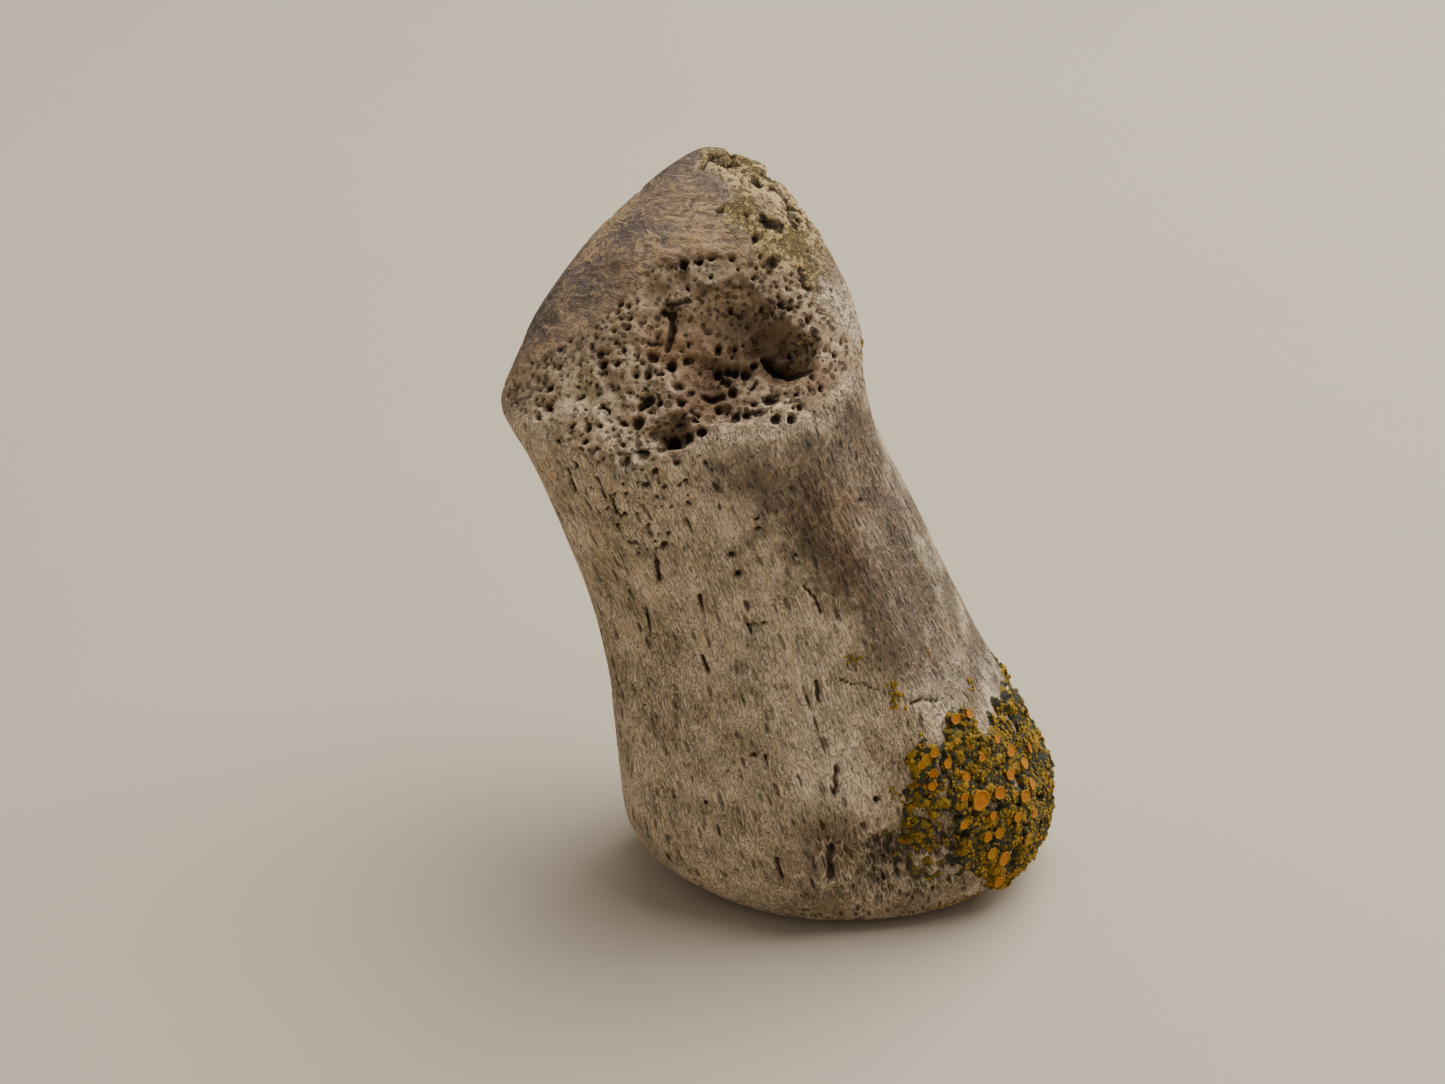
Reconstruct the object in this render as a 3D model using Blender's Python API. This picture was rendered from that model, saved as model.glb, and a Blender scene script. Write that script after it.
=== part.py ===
"""A weathered fossil toe bone that stands on its worn base, with a crust of lichen on one corner.

The bone is a loft through level sections that lean to the left as they rise. The joint end slopes
back above the front lip, and its broken face is scooped out and pierced by the pores of the spongy
bone inside. The lichen is a thin crust of its own that follows the bone. Metres, +Z up, the broken
face towards -Y, origin at the middle of the base.
"""

import math

import bmesh
import bpy
import numpy as np
from mathutils import Matrix, Vector

MM = 0.001

# What the whole bone is worked out from
BONE_HEIGHT = 68.0 * MM
BONE_SHIFT = (4.3, 0.68)
TABLE_HEIGHT = 68.0
UNIT = BONE_HEIGHT / TABLE_HEIGHT

# Level sections from the base up, in table units of about 1 mm: height, middle in x, half width,
# front y, back y, rise to the right per unit, and roundness (2 is an ellipse, more is squarer)
SECTIONS = (
    (0.0, 1.0, 13.0, -11.5, 10.0, 0.000, 2.10),
    (1.5, 1.2, 16.6, -13.8, 12.3, 0.000, 2.15),
    (6.0, 0.5, 20.0, -15.2, 13.8, 0.010, 2.20),
    (14.0, -1.6, 19.0, -15.2, 14.0, 0.030, 2.40),
    (24.0, -4.5, 16.8, -13.9, 13.4, 0.060, 2.40),
    (34.0, -7.7, 15.6, -12.9, 13.0, 0.080, 2.40),
    (43.0, -11.0, 15.1, -13.1, 13.4, 0.100, 2.35),
    (49.0, -13.0, 15.5, -13.6, 14.0, 0.110, 2.30),
    (51.2, -13.5, 15.7, -12.7, 14.2, 0.115, 2.25),
    (54.5, -13.4, 14.6, -10.0, 14.4, 0.120, 2.20),
    (58.0, -13.0, 12.5, -6.8, 14.4, 0.120, 2.15),
    (61.5, -12.5, 10.0, -3.5, 14.2, 0.120, 2.10),
    (64.0, -12.1, 7.4, -1.0, 13.8, 0.120, 2.00),
    (66.0, -11.8, 4.7, 2.6, 13.0, 0.100, 2.00),
    (67.4, -11.6, 1.9, 6.3, 11.8, 0.060, 2.00),
    (68.0, -11.5, 0.0, 9.5, 9.5, 0.000, 2.00),
)
RINGS_PER_SECTION = (2, 3, 3, 4, 4, 3, 3, 2, 2, 2, 2, 2, 2, 1, 1)
FACES_AROUND = 54
SMOOTH_ANGLE = math.radians(34.0)

# The worn skin: shallow flutes along the shaft, and single lumps and dents
# (level up the bone, degrees round it from the right by the back, reach, height)
FLUTE_DEPTH = 0.26
FLUTE_START = 3.0
FLUTE_FULL = 9.0
FLUTE_FADE = 46.0
FLUTE_END = 54.0
LUMPS = (
    (50.0, -171.0, 3.4, 0.7),
    (46.0, -150.0, 5.0, 0.5),
    (47.5, -104.0, 4.0, 0.5),
    (49.0, -82.0, 3.0, -0.4),
    (50.5, -60.0, 4.0, 0.4),
    (58.0, -168.0, 4.0, 0.4),
    (63.0, -128.0, 3.0, 0.4),
    (63.5, -40.0, 2.4, 0.6),
    (60.5, -28.0, 2.2, -0.5),
    (57.0, -14.0, 2.6, 0.6),
    (65.4, 20.0, 2.2, 0.5),
    (40.0, -138.0, 6.0, 0.6),
    (30.0, -120.0, 5.0, -0.4),
    (24.0, -72.0, 6.0, -0.4),
    (16.0, -100.0, 6.0, 0.4),
    (9.0, -78.0, 3.4, -0.8),
    (5.0, -100.0, 3.0, 0.5),
    (8.0, -140.0, 5.0, 0.5),
    (30.0, 60.0, 9.0, -0.7),
    (46.0, 110.0, 7.0, 0.6),
    (14.0, 130.0, 8.0, 0.5),
    (44.0, 0.0, 6.0, -0.6),
    (44.0, 180.0, 5.0, -0.4),
)

# Hollows worn into the broken face and the foot
# (level, degrees round, half width, half height, depth, turn in degrees)
SCOOPS = (
    ("worn_hollow", 56.2, -77.0, 7.2, 6.4, 3.4, -12.0),
    ("undercut_right", 55.2, -56.0, 3.4, 2.0, 4.0, 20.0),
    ("left_face", 53.0, -128.0, 5.6, 4.0, 1.0, 12.0),
    ("middle_face", 54.0, -106.0, 4.4, 5.2, 1.2, 0.0),
    ("upper_face", 60.2, -104.0, 2.6, 3.4, 0.9, 0.0),
    ("right_face", 54.2, -34.0, 2.8, 3.0, 0.9, 0.0),
    ("lip_notch", 51.6, -94.0, 1.8, 1.5, 2.2, 0.0),
    ("foot_crack", 8.6, -89.0, 0.9, 3.2, 1.0, 8.0),
)
SCOOP_BULGE = 0.55
SCOOP_AROUND = 20
SCOOP_RINGS = 12

# Pores of the spongy bone, scattered over the broken face inside this band
PORE_COUNT = 40
PORE_SEED = 11
PORE_LEVELS = (50.9, 60.5)
PORE_ANGLES = (-158.0, -24.0)
PORE_RADII = (0.45, 0.95)
PORE_DEPTH = 1.2
PORE_TAPER = 0.55
PORE_SIDES = 7
PORE_SPACING = 2.1
# The band narrows upwards with the arch of the broken face
ARCH_MIDDLE = -98.0
ARCH_NARROWING = 0.62
# Large pores that stand out one by one (level, degrees round, radius)
LARGE_PORES = (
    (51.2, -126.0, 1.0),
    (50.9, -114.0, 1.1),
    (53.4, -120.0, 1.1),
    (53.6, -136.0, 0.9),
    (62.4, -99.0, 0.7),
    (52.4, -83.0, 0.8),
)

# Narrow slits where the shaft has weathered along its grain
SLIT_COUNT = 22
SLIT_SEED = 5
SLIT_LEVELS = (14.0, 46.0)
SLIT_ANGLES = (-142.0, -62.0)
SLIT_HALF_WIDTH = 0.32
SLIT_HALF_LENGTHS = (0.9, 1.7)
SLIT_DEPTH = 0.7
SLIT_SIDES = 6
SLIT_SPACING = 3.0
# Round holes in the shaft (level, degrees round, radius)
SHAFT_HOLES = (
    (39.5, -90.0, 0.5),
    (37.3, -90.0, 0.55),
    (20.1, -100.0, 0.4),
    (20.3, -96.0, 0.4),
)

# The lichen: a crust over the lower right corner, and the discs that it bears
LICHEN_GAP = 0.3
LICHEN_EDGE = 0.35
LICHEN_THICKNESS = 1.25
LICHEN_LUMP = 0.3
LICHEN_LEVEL = 11.6
LICHEN_HALF_HEIGHT = 8.0
LICHEN_ANGLE = -27.0
LICHEN_HALF_ANGLE = 40.0
LICHEN_RINGS = 8
LICHEN_AROUND = 32
DISC_SIDES = 10
DISC_RISE = 0.35
DISC_SINK = 0.25
DISCS = (
    (14.0, -46.0, 0.95),
    (15.2, -40.5, 0.65),
    (16.0, -43.5, 0.50),
    (17.6, -34.0, 0.70),
    (16.4, -58.0, 0.75),
    (14.0, -59.0, 0.50),
    (12.6, -54.0, 0.60),
    (9.2, -48.0, 0.55),
    (6.6, -44.0, 0.65),
    (6.2, -36.0, 0.55),
    (10.4, -34.0, 0.70),
    (12.0, -22.0, 0.75),
    (8.0, -14.0, 0.80),
    (14.5, -10.0, 0.70),
)

TABLE = np.array(SECTIONS)
SLOPES = np.gradient(TABLE, axis=0)
NUDGE = 1e-3
TRIES_PER_SPOT = 30


def clear_scene():
    for thing in list(bpy.data.objects):
        bpy.data.objects.remove(thing, do_unlink=True)
    for group in list(bpy.data.collections):
        bpy.data.collections.remove(group)


def new_collection(name):
    group = bpy.data.collections.new(name)
    bpy.context.scene.collection.children.link(group)
    return group


def material_of(name, colour, roughness):
    material = bpy.data.materials.new(name)
    material.use_nodes = True
    shader = material.node_tree.nodes["Principled BSDF"]
    shader.inputs["Base Color"].default_value = (*colour, 1.0)
    shader.inputs["Roughness"].default_value = roughness
    shader.inputs["Metallic"].default_value = 0.0
    material.diffuse_color = (*colour, 1.0)
    return material


def station_of(level):
    """Where a level lies among the sections: 2.5 is half way from the third section to the fourth."""
    return np.interp(level, TABLE[:, 0], np.arange(len(TABLE)))


def section_at(station):
    """The section's values at any station, on smooth curves through the rows of the table."""
    station = np.clip(station, 0.0, len(TABLE) - 1.0)
    row = np.minimum(station.astype(int), len(TABLE) - 2)
    part = (station - row)[..., None]
    rest = 1.0 - part
    lower = TABLE[row] * (1.0 + 2.0 * part) + SLOPES[row] * part
    upper = TABLE[row + 1] * (3.0 - 2.0 * part) - SLOPES[row + 1] * rest
    values = lower * rest**2 + upper * part**2
    return np.moveaxis(values, -1, 0)


def signed_power(value, power):
    return np.sign(value) * np.abs(value) ** power


def loft_point(station, angle):
    """A point on the plain loft, from a station up the bone and an angle round it in radians."""
    height, middle, half_width, front, back, roll, roundness = section_at(station)
    across = half_width * signed_power(np.cos(angle), 2.0 / roundness)
    along = signed_power(np.sin(angle), 2.0 / roundness)
    x = middle + across
    y = (front + back) / 2.0 + (back - front) / 2.0 * along
    return np.stack([x, y, height + roll * across], axis=-1)


def loft_normal(station, angle):
    up = loft_point(station + NUDGE, angle) - loft_point(station - NUDGE, angle)
    side = loft_point(station, angle + NUDGE) - loft_point(station, angle - NUDGE)
    normal = np.cross(side, up)
    return normal / np.linalg.norm(normal, axis=-1, keepdims=True)


def relief_at(point, angle):
    """How far the worn skin stands out from the plain loft."""
    height = point[..., 2]
    fade = np.interp(height, (FLUTE_START, FLUTE_FULL, FLUTE_FADE, FLUTE_END), (0.0, 1.0, 1.0, 0.0))
    flutes = np.sin(7.0 * angle + 0.06 * height) + 0.7 * np.sin(11.0 * angle - 0.08 * height + 1.7)
    relief = FLUTE_DEPTH * fade * flutes
    for level, degrees, reach, rise in LUMPS:
        middle = loft_point(station_of(level), np.array(math.radians(degrees)))
        distance = np.linalg.norm(point - middle, axis=-1)
        relief = relief + rise * np.exp(-((distance / reach) ** 2)) * np.clip(height, 0.0, 1.0)
    return relief


def skin_point(station, angle):
    """A point on the worn skin, the loft with its relief, in table units."""
    point = loft_point(station, angle)
    return point + loft_normal(station, angle) * relief_at(point, angle)[..., None]


def to_metres(points):
    shift = np.array([*BONE_SHIFT, 0.0])
    return (points + shift) * UNIT


def frame_at(level, degrees):
    """A frame on the skin: across the bone, up it, and outwards."""
    station = np.array(station_of(level))
    angle = np.array(math.radians(degrees))
    outward = Vector(loft_normal(station, angle))
    up = skin_point(station + NUDGE, angle) - skin_point(station - NUDGE, angle)
    across = Vector(up).cross(outward).normalized()
    frame = Matrix((across, outward.cross(across), outward)).transposed().to_4x4()
    frame.translation = Vector(to_metres(skin_point(station, angle)))
    return frame


def object_from(name, points, faces, group, material=None):
    mesh = bpy.data.meshes.new(name)
    mesh.from_pydata(points.tolist(), [], faces)
    mesh.update()
    made = bpy.data.objects.new(name, mesh)
    group.objects.link(made)
    if material:
        mesh.materials.append(material)
    return made


def object_of_bmesh(name, bm, group):
    mesh = bpy.data.meshes.new(name)
    bm.to_mesh(mesh)
    bm.free()
    made = bpy.data.objects.new(name, mesh)
    group.objects.link(made)
    made.hide_render = True
    made.display_type = "WIRE"
    return made


def add_boolean(target, name, operation, other):
    modifier = target.modifiers.new(name, "BOOLEAN")
    modifier.operation = operation
    modifier.solver = "EXACT"
    modifier.object = other


def shade_round(target):
    mesh = target.data
    mesh.shade_smooth()
    mesh.set_sharp_from_angle(angle=SMOOTH_ANGLE)


def make_bone(group, material):
    """The loft of the bone: rings of points from the flat base up to one point at the crest."""
    steps = [np.arange(count) / count + row for row, count in enumerate(RINGS_PER_SECTION)]
    stations = np.concatenate(steps)
    angles = np.linspace(0.0, math.tau, FACES_AROUND, endpoint=False)
    rings = skin_point(*np.meshgrid(stations, angles, indexing="ij"))
    rings[0, :, 2] = 0.0
    crest = TABLE[-1]
    top = np.array([[crest[1], crest[3], crest[0]]])
    points = to_metres(np.concatenate([rings.reshape(-1, 3), top]))

    ring_count = len(stations)
    faces = [list(range(FACES_AROUND - 1, -1, -1))]
    for ring in range(ring_count - 1):
        for i in range(FACES_AROUND):
            here = ring * FACES_AROUND + i
            beside = ring * FACES_AROUND + (i + 1) % FACES_AROUND
            faces.append([here, beside, beside + FACES_AROUND, here + FACES_AROUND])
    last = (ring_count - 1) * FACES_AROUND
    for i in range(FACES_AROUND):
        faces.append([last + i, last + (i + 1) % FACES_AROUND, len(points) - 1])
    bone = object_from("toe_bone", points, faces, group, material)
    shade_round(bone)
    return bone


def scoop_matrix(level, degrees, half_width, half_height, depth, turn):
    """The matrix that makes a unit ball into an ellipsoid which cuts this opening to this depth."""
    outward_radius = depth / (1.0 - SCOOP_BULGE)
    widening = 1.0 / math.sqrt(1.0 - SCOOP_BULGE**2)
    lift = Matrix.Translation((0.0, 0.0, SCOOP_BULGE * outward_radius * UNIT))
    size = Vector((half_width * widening, half_height * widening, outward_radius)) * UNIT
    turned = Matrix.Rotation(math.radians(turn), 4, "Z")
    return frame_at(level, degrees) @ lift @ turned @ Matrix.Diagonal((*size, 1.0))


def scooped_depth(point, inward, scoops):
    """How far below the skin the scoops reach, measured inwards from a point on it."""
    deepest = 0.0
    for scoop in scoops:
        local = scoop.inverted()
        start = local @ point
        step = local.to_3x3() @ inward
        half = start.dot(step)
        square = half**2 - step.length_squared * (start.length_squared - 1.0)
        if square > 0.0:
            deepest = max(deepest, (math.sqrt(square) - half) / step.length_squared)
    return deepest


def scattered(count, seed, levels, angles, spacing, taken, keep):
    """Seeded random spots on the skin, none closer to another than the spacing."""
    rng = np.random.default_rng(seed)
    spots = []
    for level, degrees, size in rng.uniform(size=(TRIES_PER_SPOT * count, 3)):
        level = levels[0] + (levels[1] - levels[0]) * level
        degrees = angles[0] + (angles[1] - angles[0]) * degrees
        if len(spots) == count or not keep(level, degrees):
            continue
        place = frame_at(level, degrees).translation
        if all((place - other).length > spacing * UNIT for other in taken):
            taken.append(place)
            spots.append((level, degrees, size))
    return spots


def inside_arch(level, degrees):
    """Whether a spot lies on the broken face, which narrows upwards."""
    low, high = PORE_LEVELS
    share = (level - low) / (high - low)
    left, right = PORE_ANGLES
    side = left if degrees < ARCH_MIDDLE else right
    return abs(degrees - ARCH_MIDDLE) < abs(side - ARCH_MIDDLE) * (1.0 - ARCH_NARROWING * share)


def add_pit(bm, level, degrees, size, depth, sides, scoops):
    """A tapered plug that stands half above the surface, with its narrow end below."""
    frame = frame_at(level, degrees)
    outward = frame.col[2].to_3d()
    sunk = scooped_depth(frame.translation, -outward, scoops)
    place = frame @ Matrix.Translation((0.0, 0.0, -sunk))
    half_width, half_length = size
    bmesh.ops.create_cone(
        bm,
        cap_ends=True,
        segments=sides,
        radius1=PORE_TAPER * UNIT,
        radius2=(2.0 - PORE_TAPER) * UNIT,
        depth=2.0 * depth * UNIT,
        matrix=place @ Matrix.Diagonal((half_width, half_length, 1.0, 1.0)),
    )


def cut_broken_face(bone, cutters):
    """The scoops first, one Boolean each, and then the pores that open on what the scoops left."""
    scoops = []
    for name, *shape in SCOOPS:
        bm = bmesh.new()
        matrix = scoop_matrix(*shape)
        bmesh.ops.create_uvsphere(
            bm, u_segments=SCOOP_AROUND, v_segments=SCOOP_RINGS, radius=1.0, matrix=matrix
        )
        add_boolean(bone, name, "DIFFERENCE", object_of_bmesh(name, bm, cutters))
        scoops.append(matrix)

    bm = bmesh.new()
    taken = []
    for level, degrees, radius in LARGE_PORES:
        taken.append(frame_at(level, degrees).translation)
        add_pit(bm, level, degrees, (radius, radius), PORE_DEPTH, PORE_SIDES, scoops)
    spots = scattered(
        PORE_COUNT, PORE_SEED, PORE_LEVELS, PORE_ANGLES, PORE_SPACING, taken, inside_arch
    )
    small, large = PORE_RADII
    for level, degrees, share in spots:
        radius = small + (large - small) * share**2
        add_pit(bm, level, degrees, (radius, radius), PORE_DEPTH, PORE_SIDES, scoops)
    add_boolean(bone, "pores", "DIFFERENCE", object_of_bmesh("pores", bm, cutters))


def cut_shaft(bone, cutters):
    """Narrow slits along the grain of the shaft, and a few round holes."""
    bm = bmesh.new()
    taken = []
    for level, degrees, radius in SHAFT_HOLES:
        taken.append(frame_at(level, degrees).translation)
        add_pit(bm, level, degrees, (radius, radius), SLIT_DEPTH, PORE_SIDES, [])
    spots = scattered(
        SLIT_COUNT, SLIT_SEED, SLIT_LEVELS, SLIT_ANGLES, SLIT_SPACING, taken, lambda *spot: True
    )
    short, long = SLIT_HALF_LENGTHS
    for level, degrees, share in spots:
        size = (SLIT_HALF_WIDTH, short + (long - short) * share)
        add_pit(bm, level, degrees, size, SLIT_DEPTH, SLIT_SIDES, [])
    add_boolean(bone, "slits", "DIFFERENCE", object_of_bmesh("slits", bm, cutters))


def crust_lobes(turn):
    """The reach of the crust's edge from its middle, by the direction."""
    return 1.0 + 0.10 * np.sin(3.0 * turn + 0.6) + 0.06 * np.sin(5.0 * turn + 2.1)


def crust_thickness(level, degrees):
    """The crust is thick and lumpy in its middle and thins out towards its lobed edge."""
    across = (degrees - LICHEN_ANGLE) / LICHEN_HALF_ANGLE
    up = (level - LICHEN_LEVEL) / LICHEN_HALF_HEIGHT
    reach = np.hypot(across, up) / crust_lobes(np.arctan2(up, across))
    middle = np.clip(1.0 - reach**4, 0.0, 1.0)
    angle = np.radians(degrees)
    lumps = np.sin(1.9 * level + 2.0) * np.sin(17.0 * angle + 0.5)
    lumps = lumps + 0.6 * np.sin(1.1 * level - 9.0 * angle)
    return LICHEN_EDGE + (LICHEN_THICKNESS - LICHEN_EDGE + LICHEN_LUMP * lumps) * middle


def crust_sheets():
    """The crust's outer and inner sheets: a middle point, and then rings of points about it."""
    reach, turn = np.meshgrid(
        np.arange(1, LICHEN_RINGS + 1) / LICHEN_RINGS,
        np.linspace(0.0, math.tau, LICHEN_AROUND, endpoint=False),
        indexing="ij",
    )
    reach = np.concatenate([[0.0], (reach * crust_lobes(turn)).ravel()])
    turn = np.concatenate([[0.0], turn.ravel()])
    degrees = LICHEN_ANGLE + LICHEN_HALF_ANGLE * reach * np.cos(turn)
    level = LICHEN_LEVEL + LICHEN_HALF_HEIGHT * reach * np.sin(turn)
    skin = skin_point(station_of(level), np.radians(degrees))
    outward = loft_normal(station_of(level), np.radians(degrees))
    inner = skin + LICHEN_GAP * outward
    return inner + outward * crust_thickness(level, degrees)[:, None], inner


def make_lichen(group, cutters, material):
    """The crust is two sheets that follow the bone, joined by a rim, with discs fused to it."""
    outer, inner = crust_sheets()
    count = len(outer)
    faces = []
    for i in range(LICHEN_AROUND):
        after = (i + 1) % LICHEN_AROUND
        faces.append([0, 1 + i, 1 + after])
        faces.append([count, count + 1 + after, count + 1 + i])
        for ring in range(LICHEN_RINGS - 1):
            a = 1 + ring * LICHEN_AROUND + i
            b = 1 + ring * LICHEN_AROUND + after
            c = b + LICHEN_AROUND
            d = a + LICHEN_AROUND
            faces.append([a, d, c, b])
            faces.append([count + a, count + b, count + c, count + d])
        rim = 1 + (LICHEN_RINGS - 1) * LICHEN_AROUND
        faces.append([rim + i, count + rim + i, count + rim + after, rim + after])
    points = to_metres(np.concatenate([outer, inner]))
    lichen = object_from("orange_lichen", points, faces, group, material)

    bm = bmesh.new()
    for level, degrees, radius in DISCS:
        low = LICHEN_GAP + DISC_SINK
        high = LICHEN_GAP + crust_thickness(level, degrees) + DISC_RISE
        lift = Matrix.Translation((0.0, 0.0, (low + high) / 2.0 * UNIT))
        bmesh.ops.create_cone(
            bm,
            cap_ends=True,
            segments=DISC_SIDES,
            radius1=0.7 * radius * UNIT,
            radius2=radius * UNIT,
            depth=(high - low) * UNIT,
            matrix=frame_at(level, degrees) @ lift,
        )
    add_boolean(lichen, "discs", "UNION", object_of_bmesh("discs", bm, cutters))
    shade_round(lichen)
    return lichen


def main():
    clear_scene()
    parts = new_collection("fossil_toe_bone")
    cutters = new_collection("cutters")
    cutters.hide_render = True
    bone_colour = material_of("weathered_bone", (0.40, 0.34, 0.28), 0.85)
    lichen_colour = material_of("orange_crust", (0.42, 0.30, 0.10), 0.90)
    bone = make_bone(parts, bone_colour)
    cut_broken_face(bone, cutters)
    cut_shaft(bone, cutters)
    make_lichen(parts, cutters, lichen_colour)


main()
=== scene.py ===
import itertools
import math

import bpy
import numpy as np
from mathutils import Matrix, Vector


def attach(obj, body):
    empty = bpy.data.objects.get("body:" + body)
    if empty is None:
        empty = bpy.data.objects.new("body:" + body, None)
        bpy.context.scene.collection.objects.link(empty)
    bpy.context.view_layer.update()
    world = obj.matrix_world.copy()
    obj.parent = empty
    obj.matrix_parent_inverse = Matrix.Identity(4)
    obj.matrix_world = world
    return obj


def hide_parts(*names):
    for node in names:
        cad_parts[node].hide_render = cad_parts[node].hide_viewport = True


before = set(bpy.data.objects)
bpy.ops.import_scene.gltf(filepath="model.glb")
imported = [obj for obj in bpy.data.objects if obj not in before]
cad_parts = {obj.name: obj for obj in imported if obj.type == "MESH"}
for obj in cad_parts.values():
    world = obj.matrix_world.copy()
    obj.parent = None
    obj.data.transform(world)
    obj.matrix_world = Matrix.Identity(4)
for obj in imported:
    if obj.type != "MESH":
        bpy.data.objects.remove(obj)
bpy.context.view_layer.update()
print("frame loaded")

millimetre = 0.001
tableShift = np.array([4.3, 0.68, 0.0])  # from the section table's origin to the row's, in mm

# The photo's camera, worked out from the bone's outline: focal length in pixels, pitch in degrees,
# place in mm
photo = {
    "width": 1445.0,
    "height": 1084.0,
    "focus": 3000.0,
    "pitch": 29.5,
    "eye": np.array([-10.39, -237.99, 168.29]) + tableShift,
}
pitch = math.radians(photo["pitch"])
lookRight = np.array([1.0, 0.0, 0.0])
lookForward = np.array([0.0, math.cos(pitch), -math.sin(pitch)])
lookUp = np.array([0.0, math.sin(pitch), math.cos(pitch)])

# Level sections of the bone from the base up, in mm: height, middle in x, half width, front y, back y,
# rise to the right per mm, and roundness (2 is an ellipse, more is squarer)
sections = np.array([
    (0.0, 1.0, 13.0, -11.5, 10.0, 0.000, 2.10),
    (1.5, 1.2, 16.6, -13.8, 12.3, 0.000, 2.15),
    (6.0, 0.5, 20.0, -15.2, 13.8, 0.010, 2.20),
    (14.0, -1.6, 19.0, -15.2, 14.0, 0.030, 2.40),
    (24.0, -4.5, 16.8, -13.9, 13.4, 0.060, 2.40),
    (34.0, -7.7, 15.6, -12.9, 13.0, 0.080, 2.40),
    (43.0, -11.0, 15.1, -13.1, 13.4, 0.100, 2.35),
    (49.0, -13.0, 15.5, -13.6, 14.0, 0.110, 2.30),
    (51.2, -13.5, 15.7, -12.7, 14.2, 0.115, 2.25),
    (54.5, -13.4, 14.6, -10.0, 14.4, 0.120, 2.20),
    (58.0, -13.0, 12.5, -6.8, 14.4, 0.120, 2.15),
    (61.5, -12.5, 10.0, -3.5, 14.2, 0.120, 2.10),
    (64.0, -12.1, 7.4, -1.0, 13.8, 0.120, 2.00),
    (66.0, -11.8, 4.7, 2.6, 13.0, 0.100, 2.00),
    (67.4, -11.6, 1.9, 6.3, 11.8, 0.060, 2.00),
    (68.0, -11.5, 0.0, 9.5, 9.5, 0.000, 2.00),
])
sectionSlopes = np.gradient(sections, axis=0)

# Lumps and dents of the worn skin: level in mm, degrees round the bone from its right, reach, height
lumps = np.array([
    (50.0, -171.0, 3.4, 0.7), (46.0, -150.0, 5.0, 0.5), (47.5, -104.0, 4.0, 0.5),
    (49.0, -82.0, 3.0, -0.4), (50.5, -60.0, 4.0, 0.4), (58.0, -168.0, 4.0, 0.4),
    (63.0, -128.0, 3.0, 0.4), (63.5, -40.0, 2.4, 0.6), (60.5, -28.0, 2.2, -0.5),
    (57.0, -14.0, 2.6, 0.6), (65.4, 20.0, 2.2, 0.5), (40.0, -138.0, 6.0, 0.6),
    (30.0, -120.0, 5.0, -0.4), (24.0, -72.0, 6.0, -0.4), (16.0, -100.0, 6.0, 0.4),
    (9.0, -78.0, 3.4, -0.8), (5.0, -100.0, 3.0, 0.5), (8.0, -140.0, 5.0, 0.5),
    (30.0, 60.0, 9.0, -0.7), (46.0, 110.0, 7.0, 0.6), (14.0, 130.0, 8.0, 0.5),
    (44.0, 0.0, 6.0, -0.6), (44.0, 180.0, 5.0, -0.4),
])

# Hollows worn into the bone: level, degrees round, half width, half height, depth, turn in degrees
scoops = (
    (56.2, -77.0, 7.2, 6.4, 3.4, -12.0),
    (55.2, -56.0, 3.4, 2.0, 4.0, 20.0),
    (53.0, -128.0, 5.6, 4.0, 0.6, 12.0),
    (54.0, -106.0, 4.4, 5.2, 0.9, 0.0),
    (60.2, -104.0, 2.6, 3.4, 0.6, 0.0),
    (51.6, -94.0, 1.8, 1.5, 2.2, 0.0),
    (8.6, -89.0, 0.9, 3.2, 1.0, 8.0),
)
scoopBulge = 0.55  # how far out each scoop's ellipsoid has its middle, as a share of its radius
fluteHeight = 0.26
nudge = 1e-3


def sectionAt(station):
    # cubic Hermite curves through the rows: with part t between two rows,
    # (low (1 + 2t) + slope t) (1 - t)^2 + (high (3 - 2t) - slope (1 - t)) t^2
    station = np.clip(station, 0.0, len(sections) - 1.0)
    row = np.minimum(station.astype(int), len(sections) - 2)
    part = (station - row)[..., None]
    low = sections[row] * (1 + 2 * part) + sectionSlopes[row] * part
    high = sections[row + 1] * (3 - 2 * part) - sectionSlopes[row + 1] * (1 - part)
    return np.moveaxis(low * (1 - part) ** 2 + high * part**2, -1, 0)


def signedPower(value, power):
    return np.sign(value) * np.abs(value) ** power


def stationOf(level):
    return np.interp(level, sections[:, 0], np.arange(len(sections)))


def loftPoint(station, angle):
    # superellipse: x = middle + w |cos|^(2/n), y from front to back with |sin|^(2/n),
    # z = height + roll (x - middle)
    height, middle, halfWidth, front, back, roll, roundness = sectionAt(station)
    across = halfWidth * signedPower(np.cos(angle), 2 / roundness)
    y = (front + back) / 2 + (back - front) / 2 * signedPower(np.sin(angle), 2 / roundness)
    return np.stack([middle + across, y, height + roll * across], axis=-1) + tableShift


def unit(vectors):
    return vectors / np.maximum(np.linalg.norm(vectors, axis=-1, keepdims=True), 1e-12)


def loftNormal(station, angle):
    # the cross product of the steps round the bone and up it
    up = loftPoint(station + nudge, angle) - loftPoint(station - nudge, angle)
    side = loftPoint(station, angle + nudge) - loftPoint(station, angle - nudge)
    return unit(np.cross(side, up))


def relief(point, angle):
    # flutes, f (sin(7a + 0.06z) + 0.7 sin(11a - 0.08z + 1.7)), faded out at both ends of the shaft,
    # and a bell h exp(-(d/r)^2) for each lump
    height = point[..., 2]
    fade = np.interp(height, (3.0, 9.0, 46.0, 54.0), (0.0, 1.0, 1.0, 0.0))
    rise = fluteHeight * fade * (
        np.sin(7 * angle + 0.06 * height) + 0.7 * np.sin(11 * angle - 0.08 * height + 1.7)
    )
    middles = loftPoint(stationOf(lumps[:, 0]), np.radians(lumps[:, 1]))
    for middle, (_, _, reach, lump) in zip(middles, lumps):
        distance = np.linalg.norm(point - middle, axis=-1)
        rise = rise + lump * np.exp(-((distance / reach) ** 2)) * np.clip(height, 0, 1)
    return rise


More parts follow.
